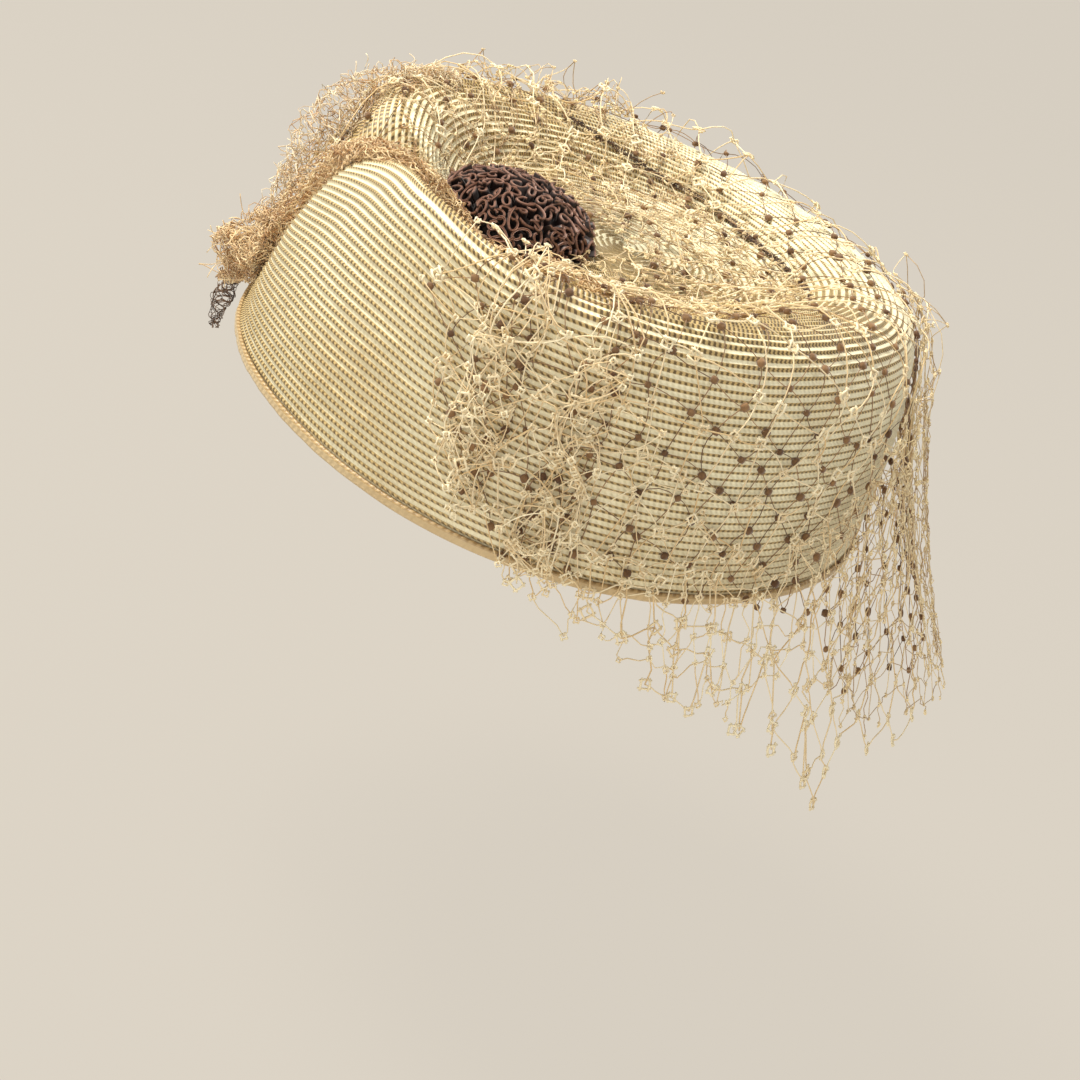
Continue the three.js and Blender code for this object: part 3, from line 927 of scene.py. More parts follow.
WHOLE = rows_of(Trim, (0, 1.0), (360, 1.0))
HEM = rows_of(Trim, (0, 0.9), (70, 0.9), (100, 0.55), (360, 0.5))
SIDE = rows_of(
    Trim,
    (0, -1.0), (88, -1.0), (100, 0.5), (114, 0.85), (140, 1.0), (164, 0.9), (176, -1.0), (360, -1.0),
)
SHORT = rows_of(
    Trim, (0, 0.12), (84, 0.15), (100, 0.45), (112, 0.72), (135, 0.95), (160, 0.9), (360, 0.9)
)


@dataclass(frozen=True)
class Fold:
    """Where one direction of the flat net lies on the hat: past folds it turns back on itself."""

    flat: float
    laid: float
    layer: float


FOLDS = rows_of(
    Fold,
    (0, 14, 0.0), (22, 38, 0.4), (31, 30, 1.8), (50, 51, 2.0), (58, 44, 0.9), (84, 70, 0.3),
    (104, 90, 0.0), (330, 316, 0.0),
)

CRUSHED = rows_of(
    Cover,
    (10, 1.45, 1.5), (24, 1.3, 1.75), (50, 1.2, 1.95), (90, 1.26, 2.0), (180, 1.36, 2.0),
    (215, 1.2, 2.0), (235, 1.02, 2.0), (255, 0.96, 2.0), (285, 0.94, 1.9), (305, 1.0, 1.66),
    (330, 1.35, 1.5),
)

HEM_COVERS = rows_of(
    Cover,
    (18, 0.75, 1.06), (24, 0.5, 1.1), (32, 0.25, 1.12), (40, 0.08, 1.06), (54, 0.06, 0.9),
    (66, 0.1, 0.5), (86, 0.14, 0.36), (104, 0.36, 0.5), (120, 0.66, 0.76), (150, 0.8, 0.9),
    (172, 0.5, 0.6), (190, 0.26, 0.2),
)

SIDE_COVERS = rows_of(
    Cover,
    (84, 0.14, 0.0), (96, 0.25, 0.4), (112, 0.5, 0.8), (130, 0.78, 1.05), (150, 0.8, 1.05),
    (168, 0.6, 0.7), (180, 0.4, 0.0),
)


@dataclass
class Drape:
    """A net laid over the crown from the dish outwards, that hangs free past where it leaves it."""

    form: CrownForm
    gap: float = 0.9
    covers: tuple[Cover, ...] = COVERS
    folded: bool = True
    trim: tuple[Trim, ...] = WHOLE
    loose_angle: float = 232.0
    loose_spread: float = 38.0
    looseness: float = 2.2
    well_inside: float = -30.0
    hang_steps: int = 40
    hang_rounds: int = 10
    keep_speed: float = 0.86
    fall: float = 0.12
    down: np.ndarray = field(default_factory=lambda: np.array([0.37, 0.03, -0.93]))

    def at(self, flat: np.ndarray, lift: np.ndarray) -> tuple[np.ndarray, ...]:
        """Lay points of the flat net.

        Args:
            flat: points of the flat net in millimetres, with the dish's middle at its middle.
            lift: how far each point stands off what it lies on.

        Returns:
            The points laid, their outward normals, how far past the hem or the cover's edge each
            one is, where under 0 is inside, and which points hang free.
        """
        spoke = np.degrees(np.arctan2(flat[:, 0], -flat[:, 1])) % 360
        fold = smooth_table(table_of(FOLDS), spoke) if self.folded else np.stack([spoke, 0 * spoke], -1)
        angle = fold[:, 0]
        far = np.hypot(flat[:, 0], flat[:, 1])
        wall, top = self.form.lengths(angle)
        lift = lift + fold[:, 1] * np.clip((far - 0.75 * top) / 20, 0, 1)
        place = np.where(far <= top, 2 - far / top, 1 - (far - top) / wall)
        crest = np.exp(-(((place - 1.0) / 0.16) ** 2))
        crest = crest * np.exp(-(((angle - self.loose_angle) / self.loose_spread) ** 2))
        lift = lift + crest * lift * self.looseness
        cover = smooth_table(table_of(self.covers), angle)
        hang = smooth_table(table_of(HANGS), angle)
        hangs = self.folded & (angle > HANGS[0].angle - 4) & (angle < HANGS[-1].angle)
        start = np.where(hangs, hang[:, 0], 0)
        on_crown = np.maximum(place, start)
        points = self.form.lifted(angle, on_crown, self.gap + lift)
        normals = self.form.normal(angle, on_crown)
        past = np.maximum(cover[:, 0] - place, place - cover[:, 1]) * PLACE_RUN
        past = np.maximum(past, np.maximum(angle - self.covers[-1].angle, self.covers[0].angle - angle))
        begin = self.form.lifted(angle, start, self.gap)
        way = np.radians(angle - 90)
        reach = self.form.rim_radius(angle) + hang[:, 1]
        hem = np.stack([reach * np.cos(way), reach * np.sin(way), hang[:, 2]], -1)
        spread = np.stack([np.cos(way), np.sin(way), 0 * way], -1)
        bend = begin * 0.6 + hem * 0.4 + spread * 1.5
        length = np.linalg.norm(hem - begin, axis=1)
        t = (far - top - (1 - start) * wall) / length
        u = np.clip(t, 0, 1.2)[:, None]
        free = (1 - u) ** 2 * begin + 2 * u * (1 - u) * bend + u**2 * hem
        outwards = unit(np.cross(np.stack([-np.sin(way), np.cos(way), 0 * way], -1), unit(begin - hem)))
        outwards = outwards * np.where((outwards * spread).sum(-1) < 0, -1, 1)[:, None]
        ruffle = 2.4 * np.sin(np.radians(spoke) * 13) + 1.5 * np.sin(np.radians(spoke) * 29 + 1)
        free = free + outwards * (lift + np.maximum(ruffle, -1) * u[:, 0])[:, None]
        hanging = hangs & (t > 0)
        points = np.where(hanging[:, None], free, points)
        normals = np.where(hanging[:, None], outwards, normals)
        kept = np.interp(angle, *table_of(self.trim).T)
        past = np.where(hanging, (t - kept) * length, past)
        over = np.maximum((place - cover[:, 1]) * PLACE_RUN, self.well_inside)
        past = np.where(hangs & ~hanging, over, past)
        return points, normals, past, hanging

    def settle(
        self, points: np.ndarray, edges: np.ndarray, rest: np.ndarray, free: np.ndarray
    ) -> np.ndarray:
        """Let the free part of a net hang under its own weight, outside the crown.

        Args:
            points: the crossings.
            edges: the two crossings of each strand.
            rest: how long each strand is.
            free: which crossings may move.

        Returns:
            Where the crossings come to rest.
        """
        angle, place = np.meshgrid(np.arange(0, 361, 3.0), np.linspace(0, 1.6, 40), indexing="ij")
        skin = self.form.lifted(angle, place, 1.0)
        rows, columns = angle.shape
        k = np.arange(rows - 1)[:, None] * columns + np.arange(columns - 1)[None]
        quads = np.stack([k, k + columns, k + columns + 1, k + 1], -1).reshape(-1, 4)
        ground = BVHTree.FromPolygons(skin.reshape(-1, 3).tolist(), quads.tolist())
        now = points.copy()
        before = now.copy()
        movers = np.nonzero(free)[0]
        weight = free.astype(float)
        share = weight[edges] / np.maximum(weight[edges].sum(1, keepdims=True), 1)
        live = weight[edges].sum(1) > 0
        ends, rest, share = edges[live], rest[live], share[live]
        degree = np.bincount(ends.reshape(-1), minlength=len(points))[:, None].clip(1)
        for _ in range(self.hang_steps):
            step = (now - before) * self.keep_speed + self.down * self.fall
            before = now.copy()
            now = now + step * weight[:, None]
            for _ in range(self.hang_rounds):
                gap = now[ends[:, 1]] - now[ends[:, 0]]
                size = np.linalg.norm(gap, axis=1)
                pull = gap * (np.maximum(1 - rest / np.maximum(size, 1e-6), 0))[:, None]
                shift = np.zeros_like(now)
                np.add.at(shift, ends[:, 0], pull * share[:, :1])
                np.add.at(shift, ends[:, 1], -pull * share[:, 1:])
                now = now + shift / degree * 1.9 * weight[:, None]
            for k in movers:
                spot, normal, _, _ = ground.find_nearest(Vector(now[k]), 12.0)
                if spot is not None and (Vector(now[k]) - spot).dot(normal) < 0:
                    now[k] = np.array(spot + normal * 0.1)
        return now


@dataclass
class Net:
    """One net: a lattice of strands with a knot or dot at each crossing."""

    name: str
    style: NetStyle
    drape: Drape
    finish: ThreadFinish
    seed: int
    lift: float
    hems: tuple[float, float] = (-3.0, 3.0)
    reach: float = 230.0
    turn: float = 20.0
    strand_length: tuple[float, float] = (0.9, 1.12)
    hang_length: tuple[float, float] = (0.9, 1.03)
    knot_spread: tuple[float, float] = (0.8, 1.15)
    bow: float = 0.9
    dot_thickness: float = 1.2

    def build(self) -> bpy.types.Object:
        """Lay the net and make its strands and knots.

        Returns:
            The net, not yet dressed.
        """
        rng = np.random.default_rng(self.seed)
        style = self.style
        half = np.array([style.cell_width / 2, style.cell_height / 2])
        span = int(self.reach / half.min()) + 2
        places, edges = lattice(np.arange(-span, span + 1), np.arange(-span, span + 1))
        flat = places * half
        spin = math.radians(self.turn)
        flat = flat @ np.array([[math.cos(spin), math.sin(spin)], [-math.sin(spin), math.cos(spin)]])
        flat = flat + rng.normal(0, style.uneven, flat.shape)
        lift = self.lift + np.abs(rng.normal(0, style.slack, len(flat)))
        points, normals, past, hanging = self.drape.at(flat, lift)
        hem = rng.uniform(*self.hems, len(flat))
        inside = past < hem
        edges = edges[inside[edges].all(1)]
        spoke = np.degrees(np.arctan2(flat[:, 0], -flat[:, 1])) % 360
        edges = edges[np.abs(spoke[edges[:, 0]] - spoke[edges[:, 1]]) < 180]
        rest = np.linalg.norm(flat[edges[:, 0]] - flat[edges[:, 1]], axis=1)
        rest = rest * rng.uniform(*self.strand_length, len(edges))
        span = np.linalg.norm(points[edges[:, 0]] - points[edges[:, 1]], axis=1)
        both = hanging[edges].any(1)
        short, long = self.hang_length
        rest = np.where(both, np.clip(rest, span * short, span * long), rest)
        points = self.drape.settle(points, edges, rest, hanging)
        heap = Heap()
        share = np.linspace(0, 1, 5)
        a, b = edges[:, 0], edges[:, 1]
        middle = flat[a, None] * (1 - share)[None, :, None] + flat[b, None] * share[None, :, None]
        arch = 4 * share * (1 - share)
        bow = rng.normal(0, self.bow, (len(edges), 1, 2)) * arch[None, :, None]
        sag = lift[a, None] * (1 - share) + lift[b, None] * share
        sag = sag + rng.normal(0, style.slack * 0.4, (len(edges), 1)) * arch
        laid = self.drape.at((middle + bow).reshape(-1, 2), np.maximum(sag, 0.1).reshape(-1))[0]
        laid = laid.reshape(-1, len(share), 3)
        air = points[a, None] * (1 - share)[None, :, None] + points[b, None] * share[None, :, None]
        loose = np.sqrt(np.maximum(rest**2 - np.linalg.norm(points[a] - points[b], axis=1) ** 2, 0)) * 0.3
        droop = self.drape.down[None] * 0.6 + unit(rng.normal(0, 1, (len(edges), 3))) * 0.6
        air = air + (droop * np.minimum(loose, 2.5)[:, None])[:, None] * arch[None, :, None]
        air = air + (rng.normal(0, 0.35, (len(edges), 1, 3)) * np.sin(2 * math.pi * share)[None, :, None])
        lines = np.where(both[:, None, None], air, laid)
        heap.add_tubes(lines, style.strand, rng.uniform(0.1, 0.9, len(edges)))
        used = np.unique(edges)
        out = normals[used]
        side = unit(np.cross(out, rng.normal(0, 1, out.shape)))
        frames = np.stack([side, np.cross(out, side), out], 1)
        size = rng.uniform(*self.knot_spread, len(used))[:, None, None]
        if style.knot is Knot.CHENILLE_DOT:
            shape = dot_shape(style.knot_size, self.dot_thickness)
            marks = rng.uniform(0.0, 0.5, len(used))
        else:
            shape = knot_shape(style.knot_size, style.strand * 1.5)
            marks = rng.uniform(0.6, 1.1, len(used))
        heap.add_copies(shape, points[used], frames * size, marks)
        return heap.piece(self.name)


@dataclass
class Veil:
    """The two nets, laid one on the other."""

    form: CrownForm

    def build(self) -> list[bpy.types.Object]:
        """Make the nets.

        Returns:
            The dressed pieces.
        """
        whole = Drape(self.form)
        short = replace(whole, trim=SHORT)
        dish = Drape(self.form, covers=CRUSHED, folded=False)
        hem = replace(whole, covers=HEM_COVERS, trim=HEM)
        side = replace(whole, covers=SIDE_COVERS, trim=SIDE)
        brown = Net("brown_veil", BROWN_NET, short, BROWN, 11, 0.4)
        cream = Net("cream_veil", CREAM_NET, whole, CREAM, 23, 1.2, turn=32.0)
        crushed = Net("dish_net", CRUSHED_NET, dish, CRUSHED_TAN, 29, 0.2)
        low = Net("hem_net", HEM_NET, hem, CREAM, 61, 2.2, turn=58.0)
        back = Net("side_net", SIDE_NET, side, CRUSHED_TAN, 67, 3.0, turn=8.0)
        pieces = []
        for net, slot, nodes, cut in (
            (brown, "brown_net", ["veil_cover"], (0.14, 0.15)),
            (cream, "cream_net", ["veil_fall"], (0.18, 0.19)),
            (crushed, "cream_net", [], (0.1, 0.1)),
            (low, "cream_net", [], (0.08, 0.15)),
            (back, "brown_net", [], (0.08, 0.1)),
        ):
            piece = net.build()
            dress(piece, net.finish, slot, *nodes)
            pieces.append(piece)
        return pieces


# ---- gathered net


@dataclass(frozen=True)
class Station:
    """A place along a gather, as an inset and a height in one direction, and how thick it is."""

    angle: float
    inset: float
    height: float
    radius: float


TUFT = rows_of(
    Station,
    (-54, -10, -1, 4), (-51, -8, 5, 8), (-47, -4, 11, 9.5), (-44, 0, 17, 8), (-40, 3, 23, 5),
)

ROLL = rows_of(
    Station,
    (-42, 2, 20, 4.5), (-37, 6, 34, 5.5), (-32, 11, 48, 5.5), (-27, 16, 57, 5), (-19, 21, 61, 4.2),
    (-10, 25, 61, 3.8), (-3, 31, 56, 3.5), (3, 34, 53, 3.2), (9, 36, 51, 2.5),
)

POUF = rows_of(
    Station,
    (9, 31, 52, 2.5), (18, 27, 55, 4), (25, 26, 57, 4.8), (32, 25, 59, 4.8), (38, 24, 60, 4),
    (44, 24, 59, 2.5),
)


SHOULDER = rows_of(
    Station,
    (-47, -3, 18, 4), (-51, 0, 34, 6.5), (-55, 3, 47, 7.5), (-58, 8, 56, 7.5), (-62, 13, 62, 6.5),
    (-70, 16, 64, 5), (-78, 17, 65, 3.5),
)

CROSS = rows_of(
    Station,
    (-61, 17, 64, 1.5), (-54, 22, 60, 2), (-48, 27, 55, 2), (-44, 34, 50, 1.5),
)

LOOP = rows_of(
    Station,
    (-53, -9, -2, 1.5), (-54, -11, -8, 2.8), (-54, -12, -14, 3.0), (-53, -11, -20, 1.2),
)

CREASE = rows_of(
    Station,
    (-108, 27.5, 63.5, 0.7), (-122, 33, 60.5, 0.8), (-139, 37, 57.5, 0.8), (-157, 38, 57.0, 0.8),
    (-180, 40, 56.0, 0.9), (-203, 41, 57.0, 0.9), (-232, 38, 59.0, 0.8),
)


@dataclass
class Gather:
    """A stretch of net bunched up by hand into deep, uneven folds along a soft line."""

    name: str
    form: CrownForm
    stations: tuple[Station, ...]
    seed: int
    width: float = 150.0
    cell: float = 5.2
    strand: float = 0.15
    fold_pitches: tuple[float, ...] = (1.7, 3.1, 5.3, 8.7)
    fuzz: float = 0.4
    loose_ends: int = 0
    end_strand: float = 0.13
    clearance: float = 0.0008
    spare: float = 1.25
    jitter: float = 0.22
    strand_spread: tuple[float, float] = (0.7, 1.4)

    def build(self, ground: BVHTree) -> bpy.types.Object:
        """Model the bunched net.

        Args:
            ground: the crown, which the net may not sink into.

        Returns:
            The net, not yet dressed.
        """
        rng = np.random.default_rng(self.seed)
        table = np.concatenate([np.arange(len(self.stations))[:, None], table_of(self.stations)], 1)
        spine = self.spine(table, np.linspace(0, len(table) - 1, 60))[0]
        length = np.linalg.norm(np.diff(spine, axis=0), axis=1).sum()
        rows = max(6, 2 * round(length * self.spare / self.cell))
        columns = 2 * round(self.width / self.cell)
        places, edges = lattice(np.arange(rows + 1), np.arange(columns + 1))
        along = places[:, 0] / rows + rng.normal(0, self.jitter / rows, len(places))
        across = places[:, 1] / columns + rng.normal(0, self.jitter / columns, len(places))
        share = np.linspace(0, 1, 6)
        t = along[edges[:, :1]] * (1 - share) + along[edges[:, 1:]] * share
        v = across[edges[:, :1]] * (1 - share) + across[edges[:, 1:]] * share
        lines = self.crumpled(table, t.reshape(-1), v.reshape(-1))
        wobble = rng.normal(0, self.fuzz, (len(edges), 2, 3))
        arch = np.stack([np.sin(math.pi * share), np.sin(2 * math.pi * share)])
        lines = lines + np.einsum("ekx,ks->esx", wobble, arch).reshape(-1, 3)
        lines = self.keep_out(lines, ground).reshape(len(edges), 6, 3)
        heap = Heap()
        thickness = self.strand * rng.uniform(*self.strand_spread, (len(edges), 1))
        heap.add_tubes(lines, thickness, rng.uniform(0, 1, len(edges)))
        self.add_loose_ends(heap, table, rng, ground)
        return heap.piece(self.name)

    def add_loose_ends(
        self, heap: Heap, table: np.ndarray, rng: np.random.Generator, ground: BVHTree
    ) -> None:
        """Add cut strands that curl out of the bunch.

        Args:
            heap: where the strands go.
            table: the stations with their numbers first.
            rng: settles where the strands are.
            ground: the crown.
        """
        if not self.loose_ends:
            return
        count, share = self.loose_ends, np.linspace(0, 1, 9)
        spots = rng.uniform(0.1, 0.9, count) * (len(table) - 1)
        centre, radius = self.spine(table, spots)
        way = unit(rng.normal(0, 1, (count, 3)) + [-0.4, -0.5, 0.5])
        turn = unit(np.cross(way, rng.normal(0, 1, (count, 3))))
        reach = radius * rng.uniform(0.9, 1.6, count)
        curl = rng.uniform(1.0, 3.0, count)[:, None] * np.sin(share * rng.uniform(2, 6, (count, 1)))
        lines = centre[:, None] + way[:, None] * (reach[:, None] * (0.4 + 0.6 * share))[..., None]
        lines = lines + turn[:, None] * curl[..., None]
        lines = self.keep_out(lines.reshape(-1, 3), ground).reshape(count, 9, 3)
        heap.add_tubes(lines, self.end_strand, rng.uniform(0.5, 1, count))

    def spine(self, table: np.ndarray, spots: np.ndarray) -> tuple[np.ndarray, np.ndarray]:
        """Read the line of the gather and its radius."""
        read = smooth_table(table, spots)
        reach = self.form.rim_radius(read[:, 0]) - read[:, 1]
        way = np.radians(read[:, 0] - 90)
        return np.stack([reach * np.cos(way), reach * np.sin(way), read[:, 2]], -1), read[:, 3]

    def crumpled(self, table: np.ndarray, t: np.ndarray, v: np.ndarray) -> np.ndarray:
        """Find points of the bunched net.

        Args:
            table: the stations with their numbers first.
            t: how far along the gather, 0 to 1.
            v: how far across the flat net, 0 to 1.

        Returns:
            The points, in millimetres.
        """
        last = len(table) - 1
        spots = np.clip(t, 0, 1) * last
        centre, radius = self.spine(table, spots)
        ahead = self.spine(table, np.clip(spots + 0.05, 0, last))[0]
        behind = self.spine(table, np.clip(spots - 0.05, 0, last))[0]
        along = unit(ahead - behind)
        side = unit(np.cross(along, [0.2, -0.3, 1.0]))
        rise = np.cross(side, along)
        starts = np.random.default_rng(self.seed + 1).uniform(0, 2 * math.pi, (4, len(self.fold_pitches)))
        x, y, z = np.zeros(len(t)), np.zeros(len(t)), np.zeros(len(t))
        for k, pitch in enumerate(self.fold_pitches):
            size = 1.0 / (1 + 0.55 * k)
            drift = 1.4 * math.sin(k * 2.1 + 0.5) * t
            x += size * np.sin(2 * math.pi * (pitch * v + drift) + starts[0, k])
            y += size * np.sin(2 * math.pi * (pitch * 1.13 * v - drift) + starts[1, k])
            z += size * np.sin(2 * math.pi * (pitch * 0.7 * v + 2 * t) + starts[2, k])
        far = np.hypot(x, y)
        near = np.tanh(far * 0.75) / np.maximum(far, 1e-6) * 1.05
        x, y = x * near * radius, y * near * radius
        return centre + side * x[:, None] + rise * y[:, None] + along * (z * radius * 0.22)[:, None]

    def keep_out(self, points: np.ndarray, ground: BVHTree) -> np.ndarray:
        """Lift the points that sank into the crown back out of it."""
        out = points.copy()
        for k, point in enumerate(points * MM):
            spot, normal, _, _ = ground.find_nearest(Vector(point), 0.012)
            if spot is None:
                continue
            if (Vector(point) - spot).dot(normal) < self.clearance:
                out[k] = np.array(spot + normal * self.clearance) / MM
        return out


# ---- rosette


@dataclass
class Rosette:
    """A dome of looped soutache cords on a dark base."""

    centre: Triple = (-7.0, -32.0, 53.0)
    radius: float = 20.5
    rise: float = 11.0
    loops: int = 150
    tape: float = 0.3
    depth: float = 2.6
    steps: int = 20
    sink: float = 1.4
    base_sink: float = 2.4
    lean: float = 0.22
    loop_size: tuple[float, float] = (1.9, 2.7)
    loop_turns: tuple[float, float] = (0.9, 1.45)
    loop_squash: tuple[float, float] = (0.5, 0.85)

    def dome(self, direction: np.ndarray, tilt: np.ndarray) -> tuple[np.ndarray, np.ndarray]:
        """Find points and normals of the dome.

        Args:
            direction: the angle round the dome, in radians.
            tilt: the angle down from its top, in radians.

        Returns:
            The points and the outward normals.
        """
        reach = self.radius * np.sin(tilt)
        height = self.rise * np.cos(tilt)
        points = np.stack([reach * np.cos(direction), reach * np.sin(direction), height], -1) + self.centre
        slope = np.sin(tilt) * self.rise / self.radius
        normals = unit(np.stack([slope * np.cos(direction), slope * np.sin(direction), np.cos(tilt)], -1))
        return points, normals

    def build(self) -> bpy.types.Object:
        """Model the rosette.

        Returns:
            The dressed piece.
        """
        rng = np.random.default_rng(5)
        heap = Heap()
        order = np.arange(self.loops)
        tilt = np.arccos(np.clip(1 - 0.98 * (order + 0.5) / self.loops, 0, 1))
        direction = order * math.pi * (3 - math.sqrt(5)) + rng.normal(0, 0.04, self.loops)
        places, normals = self.dome(direction, tilt)
        places = places - normals * self.sink
        t = np.linspace(0, 1, self.steps)
        lines, ups = [], []
        for place, normal in zip(places, normals):
            side = unit(np.cross(normal, rng.normal(0, 1, 3)))
            other = np.cross(normal, side)
            size = rng.uniform(*self.loop_size)
            turns = rng.uniform(*self.loop_turns) * 2 * math.pi * rng.choice([-1, 1])
            curl = size * (0.25 + 0.75 * t**0.7)
            squash = rng.uniform(*self.loop_squash)
            x = curl * np.cos(turns * t) + size * 2.2 * np.maximum(t - 0.6, 0)
            y = curl * np.sin(turns * t) * squash
            lean = rng.normal(0, self.lean, 2)
            line = place + np.outer(x, side) + np.outer(y, other)
            lines.append(line + np.outer(0.5 * np.sin(t * 5 + size), normal))
            ups.append(np.tile(unit(normal + lean[0] * side + lean[1] * other), (self.steps, 1)))
        lines, ups = np.array(lines), np.array(ups)
        self.add_tape(heap, lines + ups * (self.depth * 0.25), ups)
        self.add_base(heap)
        piece = heap.piece("soutache_rosette")
        smooth(piece, 50)
        dress(piece, SOUTACHE, "soutache", "rosette")
        return piece

    def add_tape(self, heap: Heap, lines: np.ndarray, ups: np.ndarray) -> None:
        """Add the cords, on edge, with a painted highlight along the outer edge and painted shade on the
        lower sides.

        Args:
            heap: where the shapes go.
            lines: the middle of each cord.
            ups: the direction of each cord's outer edge.
        """
        count, steps = lines.shape[:2]
        along = unit(np.gradient(lines, axis=1))
        side = unit(np.cross(along, ups))
        half = [(0.8, -1.0), (1.0, 0.2), (1.25, 0.75), (0.7, 1.06)]
        section = np.array([(-0.8, -1.0), *half, (0, 0.9), (-0.7, 1.06), (-1.25, 0.75), (-1.0, 0.2)])
        # Painted light: the points along each cord's top edge take the light tone as a painted highlight,
        # and the lower sides take dark tones as painted shade.
        tones = np.array([-0.6, -0.6, -0.5, 0.1, 1.0, 0.7, 1.0, 0.1, -0.5])
        sides = len(section)
        taper = np.minimum(1, np.minimum(np.arange(steps), steps - 1 - np.arange(steps)) * 0.5 + 0.45)
        width = (section[:, 0] * self.tape)[:, None] * taper[None, :, None, None]
        points = lines[:, :, None] + side[:, :, None] * width
        points = points + ups[:, :, None] * (section[:, 1] * self.depth / 2)[:, None]
        base = (np.arange(count) * steps * sides)[:, None]
        caps = []
        for a, b, c, d in ((0, 1, 2, 8), (8, 2, 3, 7), (7, 3, 4, 6), (6, 4, 5, 5)):
            cap = np.array([a, b, c, d])
            caps.append(base + (steps - 1) * sides + cap)
            flipped = np.array([d, c, b, a]) if c != d else np.array([b, a, c, c])
            caps.append(base + flipped)
        faces = np.concatenate([tube_faces(count, steps, sides), *caps])
        heap.add(points.reshape(-1, 3), faces, np.tile(tones, count * steps))

    def add_base(self, heap: Heap) -> None:
        """Add the closed dark base under the cords.

        Args:
            heap: where the shapes go.
        """
        rings, sides = 9, 36
        tilt = np.linspace(0.06, math.pi / 2, rings)
        way = np.arange(sides) * 2 * math.pi / sides
        grid, normals = self.dome(*np.broadcast_arrays(way[None], tilt[:, None]))
        grid = grid - normals * self.base_sink
        low = grid[-1:] * [1, 1, 0] + np.array([0, 0, self.centre[2] - 2.0])
        grid = np.concatenate([grid, low])
        rings += 1
        quads = tube_faces(1, rings, sides)[:, [0, 3, 2, 1]]
        points = grid.reshape(-1, 3)
        top, bottom = len(points), len(points) + 1
        tip = np.array([[*self.centre[:2], grid[0, 0, 2]], [*self.centre[:2], grid[-1, 0, 2]]])
        k = np.arange(sides)
        n = (k + 1) % sides
        last = (rings - 1) * sides
        upper = np.stack([k, n, 0 * k + top, 0 * k + top], -1)
        lower = np.stack([last + n, last + k, 0 * k + bottom, 0 * k + bottom], -1)
        caps = np.concatenate([upper, lower])
        heap.add(np.concatenate([points, tip]), np.concatenate([quads, caps]), -0.3)


# ---- floor, light, camera


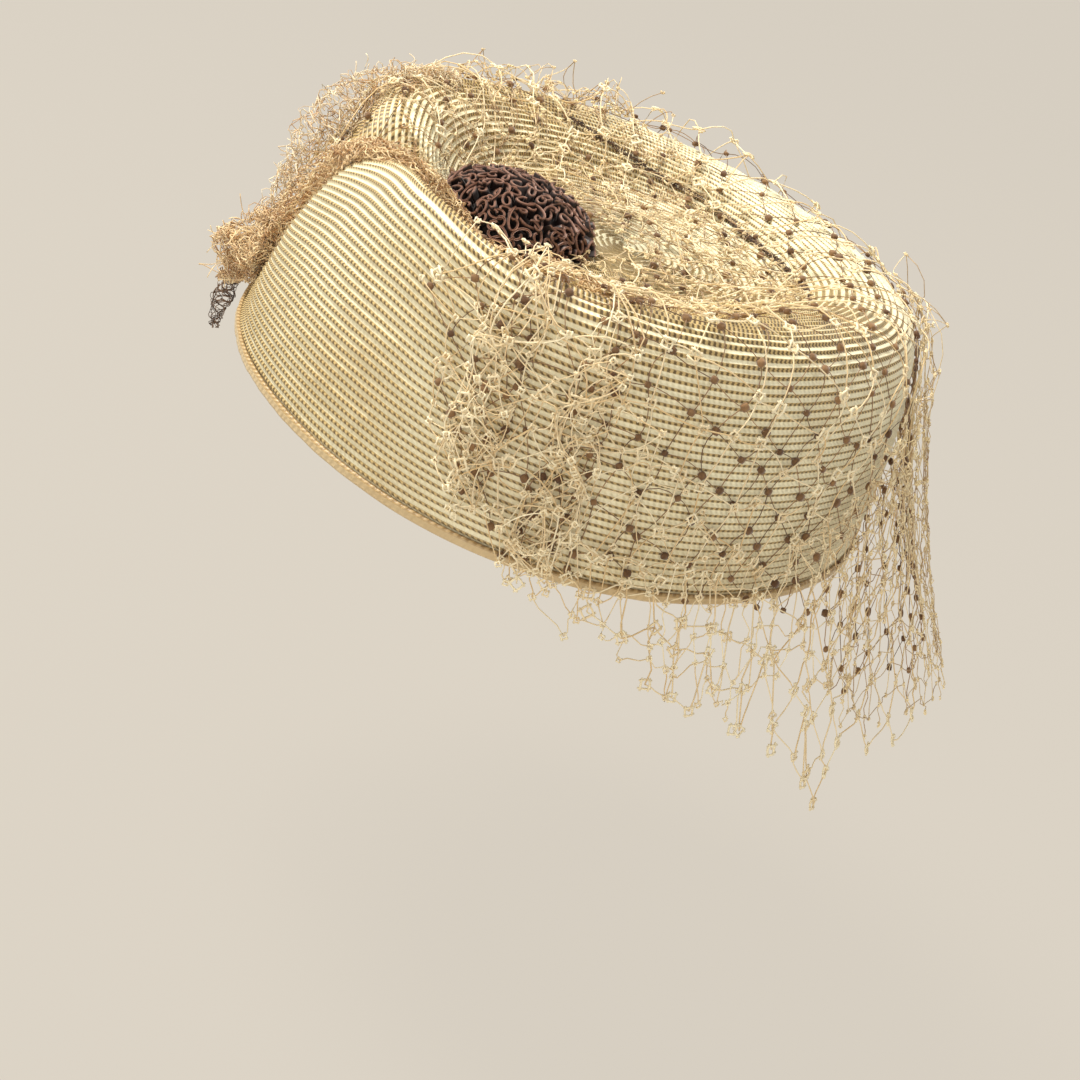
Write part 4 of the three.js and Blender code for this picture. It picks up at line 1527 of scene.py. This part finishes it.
@dataclass(frozen=True)
class Studio:
    """A plain pale floor, soft light and the camera."""

    azimuth: float = 43.07
    elevation: float = 19.67
    roll: float = 21.98
    aim_right: float = 2.26
    aim_up: float = 8.61
    distance: float = 0.48
    target_height: float = 0.045
    lens: float = 59.87
    floor_height: float = -0.16

    def build(self) -> None:
        """Make the floor, the lights and the camera."""
        self.floor()
        self.world()
        self.lamp("key", (-0.40, -0.30, 0.84), 0.35, 13.0, (1.0, 0.965, 0.89))
        self.lamp("fill", (0.75, -0.80, 0.22), 0.7, 4.2, (1.0, 0.96, 0.90))
        self.lamp("back", (0.15, 0.85, 0.7), 0.6, 3.0, (1.0, 0.97, 0.93))
        self.camera()
        bpy.context.scene.view_settings.view_transform = "Standard"

    def floor(self) -> None:
        """Add the floor."""
        clear_selection()
        bpy.ops.mesh.primitive_plane_add(size=24, location=(0, 0, self.floor_height))
        plane = bpy.context.object
        plane.name = "floor"
        r = Recipe("floor")
        tint = r.noise(r.place("Object"), 0.6, 1.0)
        r.join(r.blend(tint, shade(56, 53, 48), shade(62, 59, 54)), r.shader.inputs["Base Color"])
        r.set(Roughness=0.95, Specular_IOR_Level=0.0)
        r.set(Emission_Color=shade(218, 210, 197), Emission_Strength=0.93)
        plane.data.materials.append(r.material)

    def world(self) -> None:
        """Light the room softly from all round."""
        world = bpy.data.worlds.new("studio")
        world.use_nodes = True
        nodes, links = world.node_tree.nodes, world.node_tree.links
        ground = nodes["Background"]
        ground.inputs["Color"].default_value = (1.0, 0.965, 0.90, 1)
        ground.inputs["Strength"].default_value = 0.42
        seen = nodes.new("ShaderNodeBackground")
        seen.inputs["Color"].default_value = shade(219, 211, 198)
        path, mix = nodes.new("ShaderNodeLightPath"), nodes.new("ShaderNodeMixShader")
        links.new(path.outputs["Is Camera Ray"], mix.inputs[0])
        links.new(ground.outputs[0], mix.inputs[1])
        links.new(seen.outputs[0], mix.inputs[2])
        links.new(mix.outputs[0], nodes["World Output"].inputs["Surface"])
        bpy.context.scene.world = world

    def lamp(self, name: str, place: Triple, size: float, power: float, tint: Triple) -> None:
        """Add a square lamp that faces the hat.

        Args:
            name: the lamp's name.
            place: where it stands, in metres.
            size: its width, in metres.
            power: its power, in watts.
            tint: its colour.
        """
        light = bpy.data.lights.new(name, "AREA")
        light.shape, light.size, light.energy, light.color = "SQUARE", size, power, tint
        lamp = bpy.data.objects.new(name, light)
        bpy.context.collection.objects.link(lamp)
        lamp.location = place
        lamp.rotation_euler = (Vector((0, 0, 0.03)) - Vector(place)).to_track_quat("-Z", "Y").to_euler()

    def camera(self) -> None:
        """Add the camera, rolled against the hat's tilt and aimed a little off it."""
        a, e, roll = (math.radians(v) for v in (self.azimuth, self.elevation, self.roll))
        back = Vector((math.sin(a) * math.cos(e), -math.cos(a) * math.cos(e), math.sin(e)))
        right = Vector((math.cos(a), math.sin(a), 0))
        up = back.cross(right)
        wide = right * math.cos(roll) + up * math.sin(roll)
        tall = up * math.cos(roll) - right * math.sin(roll)
        pan, tip = math.radians(self.aim_right), math.radians(self.aim_up)
        ahead = -back * math.cos(pan) - wide * math.sin(pan)
        wide = wide * math.cos(pan) - back * math.sin(pan)
        level, steep = math.cos(tip), math.sin(tip)
        tall, ahead = tall * level + ahead * steep, ahead * level - tall * steep
        data = bpy.data.cameras.new("camera")
        data.lens, data.sensor_width = self.lens, 36.0
        data.clip_start, data.clip_end = 0.01, 60
        camera = bpy.data.objects.new("camera", data)
        bpy.context.collection.objects.link(camera)
        spot = Vector((0, 0, self.target_height)) + back * self.distance
        turn = Matrix((wide, tall, -ahead)).transposed().to_4x4()
        camera.matrix_world = Matrix.Translation(spot) @ turn
        bpy.context.scene.camera = camera


def ground_of(piece: bpy.types.Object) -> BVHTree:
    """Make a search tree of a piece's faces."""
    work = bmesh.new()
    work.from_mesh(piece.data)
    tree = BVHTree.FromBMesh(work)
    work.free()
    return tree


def make_gathers(form: CrownForm, ground: BVHTree) -> None:
    """Make the bunched nets.

    Args:
        form: the crown's form.
        ground: the crown, which they may not sink into.
    """
    bunch = partial(Gather, form=form)
    tan, pale, dark = GATHERED_TAN, GATHERED_CREAM, GATHERED_BROWN
    fine = {"strand": 0.12, "fuzz": 0.2}
    tuft = bunch("tuft", stations=TUFT, seed=31, width=230.0, fuzz=0.7, loose_ends=70)
    roll = bunch("pleat_roll", stations=ROLL, seed=37, width=120.0)
    pouf = bunch("pouf", stations=POUF, seed=41, width=150.0, loose_ends=12)
    shoulder = bunch("shoulder_net", stations=SHOULDER, seed=43, width=84.0, cell=6.0, strand=0.12)
    shoulder = replace(shoulder, fuzz=0.9, loose_ends=40)
    cross = bunch("cross_gather", stations=CROSS, seed=47, width=50.0)
    loop = bunch("tuft_loop", stations=LOOP, seed=59, width=30.0, cell=4.4, **fine)
    crease = bunch("crease_gather", stations=CREASE, seed=53, width=11.0, cell=4.0, **fine)
    for gather, finish, slot, nodes, cut in (
        (tuft, tan, "cream_net", ["veil_tuft"], (0.055, 0.23)),
        (roll, tan, "cream_net", ["veil_roll"], (0.1, 0.12)),
        (pouf, tan, "cream_net", ["veil_pouf"], (0.045, 0.145)),
        (shoulder, pale, "cream_net", [], (0.084, 0.09)),
        (cross, tan, "cream_net", [], (0.04, 0.045)),
        (loop, dark, "brown_net", [], (0.025, 0.03)),
        (crease, dark, "brown_net", [], (0.011, 0.13)),
    ):
        piece = gather.build(ground)
        dress(piece, finish, slot, *nodes)


def main() -> None:
    """Build the hat, the floor, the lights and the camera."""
    Studio().build()
    form = CrownForm()
    crown = StrawCrown(form).build()
    EdgeBraid(form).build()
    Rosette().build()
    Veil(form).build()
    make_gathers(form, ground_of(crown))


if __name__ == "__main__":
    main()
